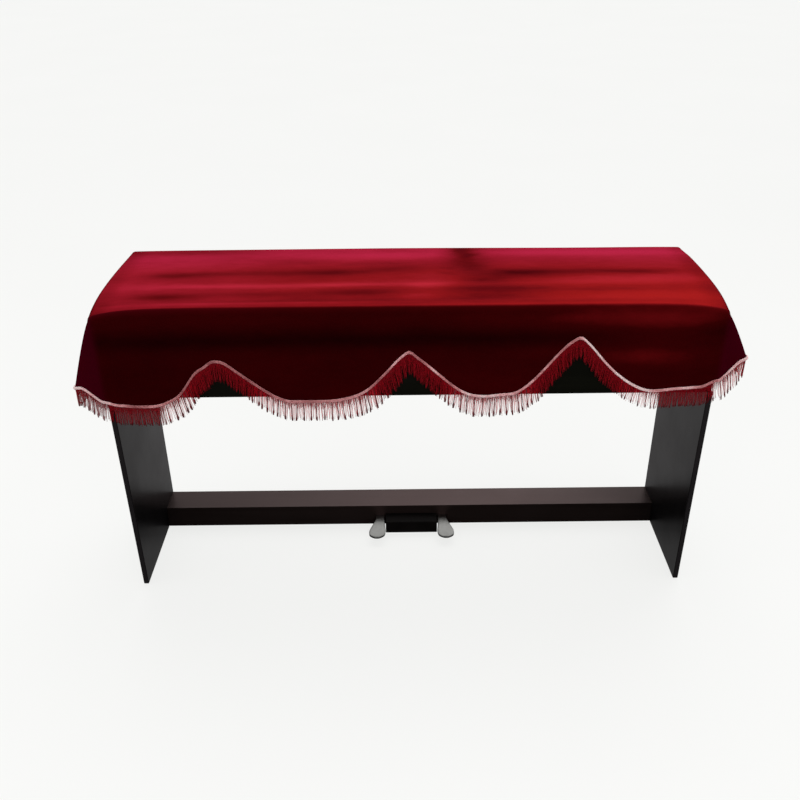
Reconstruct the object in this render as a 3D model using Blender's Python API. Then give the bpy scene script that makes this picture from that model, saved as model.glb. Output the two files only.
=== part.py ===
"""A velvet piano cover on a plain digital piano console.

Metres, +Z up, +X to the player's right and -Y towards the player. The origin is on the floor, at the
middle of the whole width and depth. Depths are counted from the case's front face, backwards.
"""
import math
import random

import bmesh
import bpy
from mathutils import Vector

# ---- console -------------------------------------------------------------------------------------
TOUCH_GAP = 0.0003
CASE_FRONT_Y = -0.180
HALF_WIDTH = 0.6805                # over the legs
CASE_HALF_WIDTH = 0.676
CASE_BOTTOM = 0.546
CASE_SHOULDER = 0.733
CASE_TOP = 0.7566
CASE_SLOPE_X = 0.100               # how far the lid slopes down to the case's sides
CASE_SLOPE_DEPTH = 0.030           # and to its front
CASE_BACK_SLOPE_DEPTH = 0.055      # and to its back
CASE_DEPTH = 0.366
LEG_THICKNESS = 0.0125
LEG_DEPTH = 0.330
LEG_FOOT_DEPTH = 0.006             # the front edge at the floor
LEG_TOP_DEPTH = -0.001             # and at the top: it leans out a little as it rises
RAIL_HEIGHT = 0.061
RAIL_DEPTH = 0.0775
RAIL_BACK_INSET = 0.006            # how far the rail stops short of the legs' back edges
PANEL_BEVEL = 0.0015

# ---- pedals --------------------------------------------------------------------------------------
PEDAL_MIDDLE_X = 0.0047
PEDAL_HALF_SPACING = 0.0852
PEDAL_THICKNESS = 0.006
PEDAL_ROOT_Z = 0.026
PEDAL_PIVOT_DEPTH = 0.023          # how far the pivot lies behind the rail's front face
POCKET_DEPTH = 0.027
POCKET_SIDE_CLEARANCE = 0.0015
POCKET_TRAVEL_CLEARANCE = 0.0025
BOX_HALF_WIDTH = 0.070
BOX_REACH = 0.042
BOX_HEIGHT = 0.036
PEDAL_EDGE_SHARE = 0.4             # of half the thickness, taken off its edges
# reach in front of the rail, sideways lean (outwards), half width, height of the middle above the root
PEDAL_SECTIONS = (
    (-PEDAL_PIVOT_DEPTH, 0.000, 0.0115, 0.0000),
    (0.0050, 0.000, 0.0115, 0.0000),
    (0.0210, 0.001, 0.0130, -0.0005),
    (0.0410, 0.004, 0.0170, -0.0020),
    (0.0630, 0.007, 0.0220, -0.0040),
    (0.0800, 0.008, 0.0200, -0.0060),
    (0.0900, 0.008, 0.0125, -0.0070),
)

# ---- cover ---------------------------------------------------------------------------------------
CLOTH_THICKNESS = 0.0018
SHOULDER_RADIUS = 0.014
HALF_TURN = 45.0                   # degrees round the shoulder, where its middle row lies
FRONT_DEPTH = -0.006               # outer face of the front drop
BACK_DEPTH = 0.372                 # outer face of the back drop
SIDE_X = {-1: 0.6895, 1: 0.6865}   # outer face of the side drops at the front corners
SIDE_BULGE = 0.0060                # how much further out the side drops lie midway
BACK_INSET = {-1: 0.0030, 1: 0.0045}  # how much further in the back corners lie, at the shoulder
BACK_HEM_INSET = 0.0030            # and at the hem
TOP_INSET = 0.0165                 # how far inside the side drops the top's last columns lie
TOP_HALF_X = {side: reach - TOP_INSET for side, reach in SIDE_X.items()}
TOP_FRONT_DEPTH = FRONT_DEPTH + SHOULDER_RADIUS
TOP_BACK_DEPTH = BACK_DEPTH - SHOULDER_RADIUS
CORNER_STEPS = (0.0, 0.005, 0.012)  # distances of the columns that a corner takes
FRONT_CELLS = 38
SIDE_CELLS = 9
DROP_ROWS = (0.0, 0.22, 0.44, 0.66, 0.86)
DROP_POWER = 0.85                  # under 1, so that the drops swell out early on their way down
HEM_BAND = 0.008                   # the last row of cells, which the braid covers

CROWN_Z = 0.7625
FRONT_SAG = 0.0145                 # how far the front corners hang below the crown
BACK_SAG = 0.0012                  # the same at the back corners
SIDE_SAG = 0.0017                  # and halfway along a side edge
BACK_FALL = 0.0038                 # how much lower the back edge lies at its right end
BACK_FALL_X = (-0.10, 0.50)        # where that begins and is full
BACK_FALL_DEPTH = 0.280            # how far back it begins
SAG_POWER = 12                     # high, so that the sag stays near the ends
CALM_ENDS = 0.125                  # share of the half length over which waves fade out at the ends
CALM_EDGES = 0.25                  # and at the front and back edges
WAVE_TAPER = 0.8
# wave on the top: middle x, half length, depth, half width, height, depth shift at its ends
TOP_WAVES = (
    (-0.10, 0.58, 0.150, 0.020, -0.0034, 0.010),
    (0.34, 0.30, 0.140, 0.018, -0.0026, -0.008),
    (-0.45, 0.22, 0.046, 0.016, -0.0030, 0.000),
    (0.22, 0.40, 0.050, 0.018, -0.0026, 0.006),
    (-0.05, 0.62, 0.095, 0.024, 0.0024, 0.000),
    (0.00, 0.66, 0.300, 0.030, 0.0020, 0.004),
    (0.15, 0.060, 0.235, 0.045, -0.0040, 0.000),
)
# soft vertical fold on the front drop: x, half width, how far it swings forward at the hem
FRONT_FOLDS = (
    (-0.60, 0.060, 0.004),
    (-0.30, 0.080, 0.006),
    (0.18, 0.090, 0.005),
    (0.56, 0.070, 0.006),
)

# Front hem, a row for each scallop: where its rise starts, its peak, where its fall ends
# start_x, start_z, peak_x, peak_z, end_x, end_z, rise power, fall power, rounding of the tip
HEM_SCALLOPS = (
    (-0.572, 0.5295, -0.437, 0.666, -0.267, 0.539, 1.75, 1.40, 0.026),
    (-0.193, 0.5370, -0.001, 0.691, 0.215, 0.546, 2.40, 2.90, 0.032),
    (0.230, 0.5490, 0.371, 0.709, 0.535, 0.557, 1.18, 1.66, 0.018),
)
TIP_WIDTH = 0.020
# small unevenness of the front hem: x, half width, change in height
HEM_TRIMS = (
    (-0.502, 0.022, -0.0035),
    (-0.450, 0.020, -0.0045),
    (-0.350, 0.045, 0.0038),
    (-0.103, 0.030, -0.0035),
    (-0.036, 0.022, -0.0045),
    (0.024, 0.018, -0.0055),
    (0.072, 0.035, 0.0045),
    (0.130, 0.035, -0.0035),
    (0.211, 0.028, 0.0055),
    (0.267, 0.028, -0.0035),
    (0.423, 0.055, -0.0050),
    (0.650, 0.060, -0.0040),
)
HEM_CORNER_Z = {-1: 0.541, 1: 0.584}      # at the case's front corners, left and right
HEM_CLIMB = 0.045                          # run over which the hem climbs to a corner
RIGHT_LIFT = 0.0065                        # a slow rise right of the last scallop
RIGHT_LIFT_RUN = 0.070
HEM_FLARE_Z = {-1: 0.584, 1: 0.640}       # at the flares' tips
SIDE_PEAK_Z = {-1: 0.642, 1: 0.690}
SIDE_PEAK_DEPTH = 0.160
SIDE_LOW_DEPTH = 0.342                     # where a side hem has fallen to the back hem's height
BACK_HEM_Z = 0.545
FLARE_HEM_FALL = {-1: 0.05, 1: 0.20}       # of the flare's rise, from its tip to the next column
SIDE_SWING = 0.006                         # how far a side drop swings out midway
FLARE_SHARE = {-1: 0.93, 1: 0.86}           # of the front corners' outward flare
BACK_SWING_SHARE = 0.5                     # of the front folds, on the back drop

# Corner of the cover, a row for each column round it, from the front or back drop to the side drop:
# inwards from the side face and from the drop's face at the shoulder, then the same two at the hem
FRONT_CORNER = (
    (0.0125, 0.0000, 0.0015, 0.0000),
    (0.0060, 0.0002, -0.0350, -0.0125),
    (0.0015, 0.0015, -0.0520, -0.0140),
    (0.0002, 0.0065, -0.0490, 0.0050),
    (0.0000, 0.0150, 0.0000, 0.0900),
)
BACK_CORNER = (
    (0.0125, 0.0000, 0.0120, 0.0000),
    (0.0060, 0.0002, -0.0020, -0.0090),
    (0.0015, 0.0015, -0.0090, -0.0110),
    (0.0002, 0.0065, -0.0080, -0.0020),
    (0.0000, 0.0150, 0.0000, 0.0350),
)

# ---- braid and fringe ----------------------------------------------------------------------------
TRIM_GAP = 0.0004
LEAST_MITRE = 0.35                 # keeps the trim from reaching far out at sharp turns
BRAID_THICKNESS = 0.0016
BRAID_BELOW_HEM = 0.0032
TAPE_HEIGHT = 0.0050
TAPE_DROP = 0.0013                 # the tape's top edge below the hem
TAPE_THICKNESS = 0.0013
STRAND_PITCH = 0.0120
STRAND_SHARE = 0.46                # of the pitch
STRAND_LENGTH_RANGE = (0.95, 1.03)
STRAND_TAPER = 0.70
STRAND_SWAY = 0.0012
# How far the fringe hangs below the hem: x, length
FRINGE_LENGTHS = (
    (-0.72, 0.043),
    (-0.60, 0.043),
    (-0.44, 0.051),
    (-0.27, 0.048),
    (0.00, 0.053),
    (0.12, 0.049),
    (0.21, 0.049),
    (0.37, 0.049),
    (0.60, 0.039),
    (0.72, 0.047),
)
LEAN_REACH = 0.055                 # how much hem on each side sets a strand's lean
LEAN_RISING = 0.45                 # share of square to the hem where it rises to the right
LEAN_FALLING = 0.15                # and where it falls
LEAN_TURN = 0.25                   # the hem's climb at which each of those is full
RISING_LENGTH = 0.13               # how much longer the fringe is where the hem rises
FULL_RISE = 0.60                   # the hem's climb at which that is full
FRINGE_SEED = 7

# base colour, metallic, roughness
FINISHES = {
    "velvet": ((0.30, 0.008, 0.022), 0.0, 0.85),
    "braid": ((0.72, 0.47, 0.46), 0.0, 0.60),
    "fringe": ((0.33, 0.015, 0.030), 0.0, 0.70),
    "board": ((0.030, 0.026, 0.027), 0.0, 0.45),
    "steel": ((0.55, 0.55, 0.54), 1.0, 0.38),
}


def at_depth(depth):
    """World y of a depth behind the case's front face."""
    return CASE_FRONT_Y + depth


def smooth(value):
    value = min(max(value, 0.0), 1.0)
    return value * value * (3.0 - 2.0 * value)


def bump(distance, half_width):
    """A soft hump, 1 at distance 0."""
    return math.exp(-((distance / half_width) ** 2))


# ---- mesh helpers --------------------------------------------------------------------------------
def clear_scene():
    for item in list(bpy.data.objects):
        bpy.data.objects.remove(item, do_unlink=True)


def finish(name):
    colour, metallic, roughness = FINISHES[name]
    material = bpy.data.materials.new(name)
    material.use_nodes = True
    shader = material.node_tree.nodes["Principled BSDF"]
    shader.inputs["Base Color"].default_value = (*colour, 1.0)
    shader.inputs["Metallic"].default_value = metallic
    shader.inputs["Roughness"].default_value = roughness
    return material


def make_object(name, mesh_builder, material, origin=(0.0, 0.0, 0.0)):
    """Turns a bmesh in world coordinates into an object with the given origin."""
    origin = Vector(origin)
    for vertex in mesh_builder.verts:
        vertex.co -= origin
    bmesh.ops.recalc_face_normals(mesh_builder, faces=mesh_builder.faces)
    mesh = bpy.data.meshes.new(name)
    mesh_builder.to_mesh(mesh)
    mesh_builder.free()
    mesh.materials.append(material)
    item = bpy.data.objects.new(name, mesh)
    item.location = origin
    bpy.context.scene.collection.objects.link(item)
    return item


def loft(sections):
    """A closed body through rings of the same number of points."""
    builder = bmesh.new()
    rings = [[builder.verts.new(point) for point in ring] for ring in sections]
    count = len(rings[0])
    for lower, upper in zip(rings, rings[1:]):
        for i in range(count):
            j = (i + 1) % count
            builder.faces.new((lower[i], lower[j], upper[j], upper[i]))
    builder.faces.new(rings[0][::-1])
    builder.faces.new(rings[-1])
    return builder


def rectangle(low_x, high_x, low_y, high_y, z):
    return [(low_x, low_y, z), (high_x, low_y, z), (high_x, high_y, z), (low_x, high_y, z)]


def box(low, high):
    """A closed box between two corners."""
    return loft([
        rectangle(low[0], high[0], low[1], high[1], low[2]),
        rectangle(low[0], high[0], low[1], high[1], high[2]),
    ])


def soften(item, width):
    bevel = item.modifiers.new("soft_edges", "BEVEL")
    bevel.width = width
    bevel.segments = 1


# ---- console -------------------------------------------------------------------------------------
def build_case(material):
    front = at_depth(0.0)
    back = at_depth(CASE_DEPTH)
    half = CASE_HALF_WIDTH
    lid_x = half - CASE_SLOPE_X
    sections = [
        rectangle(-half, half, front, back, CASE_BOTTOM + TOUCH_GAP),
        rectangle(-half, half, front, back, CASE_SHOULDER),
        rectangle(
            -lid_x, lid_x, front + CASE_SLOPE_DEPTH, back - CASE_BACK_SLOPE_DEPTH, CASE_TOP),
    ]
    return make_object("case", loft(sections), material)


def build_leg(name, side, material):
    inner = side * (HALF_WIDTH - LEG_THICKNESS)
    outer = side * HALF_WIDTH
    low_x, high_x = min(inner, outer), max(inner, outer)
    back = at_depth(LEG_DEPTH)
    sections = [
        rectangle(low_x, high_x, at_depth(LEG_FOOT_DEPTH), back, 0.0),
        rectangle(low_x, high_x, at_depth(LEG_TOP_DEPTH), back, CASE_BOTTOM),
    ]
    leg = make_object(name, loft(sections), material)
    soften(leg, PANEL_BEVEL)
    return leg


def rail_front_depth():
    return LEG_DEPTH - RAIL_BACK_INSET - RAIL_DEPTH


def pedal_x(side):
    return PEDAL_MIDDLE_X + side * PEDAL_HALF_SPACING


def build_rail(material):
    """The rail, with a pocket for each pedal."""
    half = HALF_WIDTH - LEG_THICKNESS - TOUCH_GAP
    low = (-half, at_depth(rail_front_depth()), 0.0)
    high = (half, at_depth(LEG_DEPTH - RAIL_BACK_INSET), RAIL_HEIGHT)
    rail = make_object("pedal_rail", box(low, high), material)
    for side in (-1, 1):
        half_pocket = PEDAL_SECTIONS[0][2] + POCKET_SIDE_CLEARANCE
        pocket_low = (
            pedal_x(side) - half_pocket,
            at_depth(rail_front_depth()) - POCKET_DEPTH,
            PEDAL_ROOT_Z - 0.5 * PEDAL_THICKNESS - POCKET_TRAVEL_CLEARANCE,
        )
        pocket_high = (
            pedal_x(side) + half_pocket,
            at_depth(rail_front_depth()) + POCKET_DEPTH,
            PEDAL_ROOT_Z + 0.5 * PEDAL_THICKNESS + TOUCH_GAP,
        )
        cutter = make_object(f"pocket_cutter_{side}", box(pocket_low, pocket_high), material)
        cutter.hide_render = True
        cutter.display_type = "WIRE"
        cut = rail.modifiers.new("pocket", "BOOLEAN")
        cut.operation = "DIFFERENCE"
        cut.object = cutter
    return rail


def build_pedal_box(material):
    front = at_depth(rail_front_depth() - BOX_REACH)
    back = at_depth(rail_front_depth()) - TOUCH_GAP
    low_x = PEDAL_MIDDLE_X - BOX_HALF_WIDTH
    high_x = PEDAL_MIDDLE_X + BOX_HALF_WIDTH
    block = make_object(
        "pedal_box", box((low_x, front, 0.0), (high_x, back, BOX_HEIGHT)), material)
    soften(block, PANEL_BEVEL)
    return block


def pedal_ring(reach, lean, half_width, rise, side):
    """An eight-sided section of a pedal, rounded at its edges."""
    middle_x = pedal_x(side) + side * lean
    y = at_depth(rail_front_depth() - reach)
    middle_z = PEDAL_ROOT_Z + rise
    half_height = 0.5 * PEDAL_THICKNESS
    edge = PEDAL_EDGE_SHARE * half_height
    outline = (
        (-half_width, -half_height + edge),
        (-half_width + edge, -half_height),
        (half_width - edge, -half_height),
        (half_width, -half_height + edge),
        (half_width, half_height - edge),
        (half_width - edge, half_height),
        (-half_width + edge, half_height),
        (-half_width, half_height - edge),
    )
    return [(middle_x + across, y, middle_z + up) for across, up in outline]


def build_pedal(name, side, material):
    rings = [pedal_ring(*row, side) for row in PEDAL_SECTIONS]
    pivot = (pedal_x(side), at_depth(rail_front_depth() + PEDAL_PIVOT_DEPTH), PEDAL_ROOT_Z)
    pedal = make_object(name, loft(rings), material, origin=pivot)
    pedal.data.shade_smooth()
    pedal.data.set_sharp_from_angle(angle=math.radians(40.0))
    return pedal


# ---- cover ---------------------------------------------------------------------------------------
def top_height(x, depth):
    """The cover's outer face over the case: a crown with long left-to-right waves."""
    middle = 0.5 * (TOP_FRONT_DEPTH + TOP_BACK_DEPTH)
    across = abs(x) / top_half_width(side_of(x), depth)
    along = abs(depth - middle) / (TOP_BACK_DEPTH - middle)
    corner_sag = FRONT_SAG if depth < middle else BACK_SAG
    sag = SIDE_SAG + (corner_sag - SIDE_SAG) * along ** 4
    z = CROWN_Z - sag * across ** SAG_POWER
    towards_right = (x - BACK_FALL_X[0]) / (BACK_FALL_X[1] - BACK_FALL_X[0])
    towards_back = (depth - BACK_FALL_DEPTH) / (TOP_BACK_DEPTH - BACK_FALL_DEPTH)
    z -= BACK_FALL * smooth(towards_right) * smooth(towards_back)
    calm = smooth((1.0 - along) / CALM_EDGES) * smooth((1.0 - across) / CALM_ENDS)
    for wave_x, half_length, wave_depth, half_width, height, shift in TOP_WAVES:
        reach = (x - wave_x) / half_length
        across_wave = bump(depth - wave_depth - shift * reach, half_width)
        z += height * calm * across_wave * bump(reach, WAVE_TAPER)
    return z


def scalloped_height(x):
    """Height of the front hem without its small unevenness."""
    side = side_of(x)
    climb = smooth((abs(x) - SIDE_X[side]) / HEM_CLIMB + 1.0)
    low_x, low_z = HEM_SCALLOPS[0][:2]
    if x <= low_x:
        return low_z + (HEM_CORNER_Z[-1] - low_z) * climb
    for start_x, start_z, peak_x, peak_z, end_x, end_z, rise, fall, tip in HEM_SCALLOPS:
        if x > end_x:
            low_x, low_z = end_x, end_z
            continue
        if x < start_x:
            return low_z + (start_z - low_z) * smooth((x - low_x) / (start_x - low_x))
        if x < peak_x:
            z = start_z + (peak_z - start_z) * ((x - start_x) / (peak_x - start_x)) ** rise
        else:
            z = end_z + (peak_z - end_z) * ((end_x - x) / (end_x - peak_x)) ** fall
        return z - tip * bump(x - peak_x, TIP_WIDTH)
    low_z += RIGHT_LIFT * smooth((x - low_x) / RIGHT_LIFT_RUN)
    return low_z + (HEM_CORNER_Z[1] - low_z) * climb


def hem_height(x):
    """Height of the front hem."""
    return scalloped_height(x) + sum(
        change * bump(x - trim_x, half_width) for trim_x, half_width, change in HEM_TRIMS)


def side_hem_height(side, depth):
    """Height of a side hem: it climbs from the flare to one peak and falls to the back."""
    if depth < SIDE_PEAK_DEPTH:
        share = smooth(depth / SIDE_PEAK_DEPTH)
        return HEM_FLARE_Z[side] + (SIDE_PEAK_Z[side] - HEM_FLARE_Z[side]) * share
    share = smooth((depth - SIDE_PEAK_DEPTH) / (SIDE_LOW_DEPTH - SIDE_PEAK_DEPTH))
    return SIDE_PEAK_Z[side] + (BACK_HEM_Z - SIDE_PEAK_Z[side]) * share


def corner_column(side, is_back, index):
    """Plan positions of one corner column at the shoulder and at the hem."""
    row = (BACK_CORNER if is_back else FRONT_CORNER)[index]
    in_x_top, in_y_top, in_x_hem, in_y_hem = row
    if is_back:
        shoulder_x = SIDE_X[side] - BACK_INSET[side] - in_x_top
        hem_x = SIDE_X[side] - BACK_HEM_INSET - in_x_hem
        return (
            (side * shoulder_x, BACK_DEPTH - in_y_top),
            (side * hem_x, BACK_DEPTH - in_y_hem),
        )
    hem_x = SIDE_X[side] - in_x_hem * FLARE_SHARE[side]
    return (
        (side * (SIDE_X[side] - in_x_top), FRONT_DEPTH + in_y_top),
        (side * hem_x, FRONT_DEPTH + in_y_hem),
    )


def side_reach(share, swell, inset):
    """How much further out than at the front a side face lies, at a share of the way back."""
    return swell * math.sin(math.pi * share) - inset * share


def side_of(x):
    return -1 if x < 0.0 else 1


def top_half_width(side, depth):
    share = (depth - TOP_FRONT_DEPTH) / (TOP_BACK_DEPTH - TOP_FRONT_DEPTH)
    return TOP_HALF_X[side] + side_reach(share, SIDE_BULGE, BACK_INSET[side])


def widened(x, depth):
    """Where a column of the top's front edge lies at a depth, the side edges being bowed."""
    side = side_of(x)
    return x * top_half_width(side, depth) / TOP_HALF_X[side]


def spaced(low, high, cells):
    """Column places between two edges: a corner's close steps, then even cells, then close steps."""
    first = low + CORNER_STEPS[-1]
    last = high - CORNER_STEPS[-1]
    places = [low + step for step in CORNER_STEPS]
    places += [first + (last - first) * i / cells for i in range(1, cells)]
    places += [high - step for step in reversed(CORNER_STEPS)]
    return places


def drop_columns():
    """The columns of the drops, all round from the front's left corner by the front to the right.

    Each is (top edge place, place at the shoulder's foot, place at the hem, hem height, side name).
    """
    xs = spaced(-TOP_HALF_X[-1], TOP_HALF_X[1], FRONT_CELLS)
    depths = spaced(TOP_FRONT_DEPTH, TOP_BACK_DEPTH, SIDE_CELLS)
    corner = len(CORNER_STEPS) - 1
    columns = []

    def drop(is_back):
        """The front or back columns, from left to right, with each corner's half of its columns."""
        face = BACK_DEPTH if is_back else FRONT_DEPTH
        top_depth = TOP_BACK_DEPTH if is_back else TOP_FRONT_DEPTH
        found = []
        for i, x in enumerate(xs):
            from_edge = min(i, len(xs) - 1 - i)
            side = side_of(x)
            top_x = widened(x, top_depth)
            if from_edge <= corner:
                shoulder, hem = corner_column(side, is_back, corner - from_edge)
            else:
                hem_end = SIDE_X[side] - FRONT_CORNER[0][2]
                wide = top_x * hem_end / (TOP_HALF_X[side] - CORNER_STEPS[-1])
                swing = sum(out * bump(wide - fold_x, half) for fold_x, half, out in FRONT_FOLDS)
                shoulder = (wide, face)
                hem = (wide, face + BACK_SWING_SHARE * swing if is_back else face - swing)
            if is_back:
                hem_z = BACK_HEM_Z
            elif from_edge < corner:
                fall = (HEM_FLARE_Z[side] - HEM_CORNER_Z[side]) * FLARE_HEM_FALL[side]
                hem_z = HEM_FLARE_Z[side] - fall * from_edge
            else:
                hem_z = hem_height(hem[0])
            found.append(((top_x, top_depth), shoulder, hem, hem_z))
        return found

    def side_drop(side):
        """A side's columns from front to back, without the corners that front and back hold."""
        found = []
        for j in range(1, len(depths) - 1):
            depth = depths[j]
            if j <= corner:
                shoulder, hem = corner_column(side, False, corner + j)
            elif j >= len(depths) - 1 - corner:
                shoulder, hem = corner_column(side, True, corner + len(depths) - 1 - j)
            else:
                start = corner_column(side, False, 2 * corner)
                end = corner_column(side, True, 2 * corner)
                share = (j - corner) / (len(depths) - 1 - 2 * corner)
                shoulder = (
                    side * (SIDE_X[side] + side_reach(share, SIDE_BULGE, BACK_INSET[side])),
                    start[0][1] + (end[0][1] - start[0][1]) * share,
                )
                hem = (
                    side * (SIDE_X[side] + side_reach(share, SIDE_SWING, BACK_HEM_INSET)),
                    start[1][1] + (end[1][1] - start[1][1]) * share,
                )
            top = (side * top_half_width(side, depth), depth)
            found.append((top, shoulder, hem, side_hem_height(side, hem[1])))
        return found

    columns += drop(False)
    columns += side_drop(1)
    columns += drop(True)[::-1]
    columns += side_drop(-1)[::-1]
    return xs, depths, columns


def column_points(column):
    """The outer points of one column, from half way round the shoulder down to the hem."""
    (top_x, top_depth), shoulder, hem, hem_z = column
    top_z = top_height(top_x, top_depth)
    foot_z = top_z - SHOULDER_RADIUS
    turn = math.radians(HALF_TURN)
    points = [(
        top_x + (shoulder[0] - top_x) * math.sin(turn),
        at_depth(top_depth + (shoulder[1] - top_depth) * math.sin(turn)),
        foot_z + SHOULDER_RADIUS * math.cos(turn),
    )]
    rows = [*DROP_ROWS, 1.0 - HEM_BAND / (foot_z - hem_z), 1.0]
    for share in rows:
        swell = share ** DROP_POWER
        points.append((
            shoulder[0] + (hem[0] - shoulder[0]) * swell,
            at_depth(shoulder[1] + (hem[1] - shoulder[1]) * swell),
            foot_z + (hem_z - foot_z) * share,
        ))
    return points


def build_cover(material):
    """The cover: a sheet over the top and down all four sides, thickened inwards."""
    xs, depths, columns = drop_columns()
    builder = bmesh.new()
    grid = []
    for depth in depths:
        row = [widened(x, depth) for x in xs]
        grid.append([builder.verts.new((x, at_depth(depth), top_height(x, depth))) for x in row])
    for front, back in zip(grid, grid[1:]):
        for i in range(len(xs) - 1):
            builder.faces.new((front[i], front[i + 1], back[i + 1], back[i]))
    edge = list(grid[0])
    edge += [row[-1] for row in grid[1:-1]]
    edge += grid[-1][::-1]
    edge += [row[0] for row in grid[-2:0:-1]]
    drops = [[top] + [builder.verts.new(point) for point in column_points(column)]
             for top, column in zip(edge, columns)]
    for left, right in zip(drops, drops[1:] + drops[:1]):
        for k in range(len(left) - 1):
            builder.faces.new((left[k], left[k + 1], right[k + 1], right[k]))
    cover = make_object("cover", builder, material)
    thicken = cover.modifiers.new("thickness", "SOLIDIFY")
    thicken.thickness = CLOTH_THICKNESS
    thicken.offset = -1.0
    thicken.use_even_offset = True
    cover.data.shade_smooth()
    return cover


# ---- braid and fringe ----------------------------------------------------------------------------
def trimmed_columns():
    """The columns that carry braid and fringe: left side, front and right side, in order."""
    xs, depths, columns = drop_columns()
    sides = len(depths) - 2
    front = columns[:len(xs)]
    right = columns[len(xs):len(xs) + sides]
    left = columns[-sides:]
    return left + front + right


def plan_offsets(points):
    """For each point of a run, the plan direction that lifts the run off its face evenly."""
    directions = []
    for i in range(len(points)):
        normals = []
        for a, b in ((i - 1, i), (i, i + 1)):
            if a < 0 or b >= len(points):
                continue
            run = Vector(points[b][:2]) - Vector(points[a][:2])
            normals.append(Vector((run.y, -run.x)).normalized())
        middle = sum(normals, Vector((0.0, 0.0))).normalized()
        directions.append(middle / max(middle.dot(normals[0]), LEAST_MITRE))
    return directions


def lifted(point, direction, distance):
    return Vector((point[0] + direction.x * distance, point[1] + direction.y * distance, point[2]))


def hem_runs():
    """The outer upper and lower edge points of the hem band, and the hem's plan offsets."""
    upper = []
    lower = []
    for column in trimmed_columns():
        points = column_points(column)
        upper.append(Vector(points[-2]))
        lower.append(Vector(points[-1]))
    return upper, lower, plan_offsets(upper), plan_offsets(lower)


def build_braid(material):
    """A narrow flat braid over the seam of hem and fringe."""
    upper, lower, upper_offsets, lower_offsets = hem_runs()
    rings = []
    for i, (high, low) in enumerate(zip(upper, lower)):
        down = (low - high).normalized()
        foot = low + down * BRAID_BELOW_HEM
        near = TRIM_GAP
        far = TRIM_GAP + BRAID_THICKNESS
        rings.append((
            lifted(high, upper_offsets[i], near),
            lifted(high, upper_offsets[i], far),
            lifted(foot, lower_offsets[i], far),
            lifted(foot, lower_offsets[i], near),
        ))
    braid = make_object("braid", loft(rings), material)
    return braid


def fringe_length(x):
    for (low_x, low), (high_x, high) in zip(FRINGE_LENGTHS, FRINGE_LENGTHS[1:]):
        if x < high_x:
            return low + (high - low) * smooth((x - low_x) / (high_x - low_x))
    return FRINGE_LENGTHS[-1][1]


def spot_on(line, distance):
    """The point at a walked distance along a line of points, kept within its ends."""
    for a, b in zip(line, line[1:]):
        length = (b - a).length
        if distance <= length:
            return a.lerp(b, max(distance, 0.0) / length)
        distance -= length
    return line[-1].copy()


def strand_drop(line, distance):
    """Down, turned part of the way towards square with the hem, as a share of the length."""
    before = spot_on(line, distance - LEAN_REACH)
    after = spot_on(line, distance + LEAN_REACH)
    run = (after - before).normalized()
    down = Vector((0.0, 0.0, -1.0))
    square = (down - run * down.dot(run)).normalized()
    lean = LEAN_FALLING + (LEAN_RISING - LEAN_FALLING) * smooth(0.5 + 0.5 * run.z / LEAN_TURN)
    longer = 1.0 + RISING_LENGTH * smooth(run.z / FULL_RISE)
    return down.lerp(square, lean).normalized() * longer


def fringe_stations(lower, upper):
    """Places along the hem: (point, offset, down direction, whether a strand starts here)."""
    offsets = plan_offsets(lower)
    stations = []
    for i in range(len(lower) - 1):
        a, b = lower[i], lower[i + 1]
        down_a = (a - upper[i]).normalized()
        down_b = (b - upper[i + 1]).normalized()
        strands = max(1, round((b - a).length / STRAND_PITCH))
        shares = [(0.0, False)]
        for k in range(strands):
            middle = (k + 0.5) / strands
            half = 0.5 * STRAND_SHARE / strands
            shares += [(middle - half, True), (middle + half, False)]
        for share, starts in shares:
            stations.append((
                a.lerp(b, share),
                offsets[i].lerp(offsets[i + 1], share),
                down_a.lerp(down_b, share),
                starts,
            ))
    stations.append((lower[-1], offsets[-1], (lower[-1] - upper[-1]).normalized(), False))
    return stations


def build_fringe(material):
    """A tape just under the hem, with hanging strands fused to it."""
    upper, lower, _, _ = hem_runs()
    rng = random.Random(FRINGE_SEED)
    builder = bmesh.new()
    rings = []
    stations = fringe_stations(lower, upper)
    for point, offset, down, _ in stations:
        top = point + down * TAPE_DROP
        foot = point + down * TAPE_HEIGHT
        rings.append((
            builder.verts.new(lifted(top, offset, -0.5 * TAPE_THICKNESS)),
            builder.verts.new(lifted(foot, offset, 0.0)),
            builder.verts.new(lifted(foot, offset, -TAPE_THICKNESS)),
        ))
    walked = 0.0
    for k, (left, right) in enumerate(zip(rings, rings[1:])):
        step = (stations[k + 1][0] - stations[k][0]).length
        walked += step
        builder.faces.new((left[0], left[1], right[1], right[0]))
        builder.faces.new((left[2], left[0], right[0], right[2]))
        if not stations[k][3]:
            builder.faces.new((left[1], left[2], right[2], right[1]))
            continue
        root = (left[1], left[2], right[2], right[1])
        middle = sum((vertex.co for vertex in root), Vector()) / 4.0
        sway = Vector((
            rng.uniform(-STRAND_SWAY, STRAND_SWAY),
            rng.uniform(-STRAND_SWAY, STRAND_SWAY),
            0.0,
        ))
        length = (fringe_length(middle.x) - TAPE_HEIGHT) * rng.uniform(*STRAND_LENGTH_RANGE)
        drop = strand_drop(lower, walked - 0.5 * step) * length + sway
        tip = [
            builder.verts.new(middle + drop + (vertex.co - middle) * STRAND_TAPER)
            for vertex in root
        ]
        for m in range(4):
            n = (m + 1) % 4
            builder.faces.new((root[m], root[n], tip[n], tip[m]))
        builder.faces.new(tip)
    builder.faces.new(rings[0])
    builder.faces.new(rings[-1][::-1])
    return make_object("fringe", builder, material)


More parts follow.
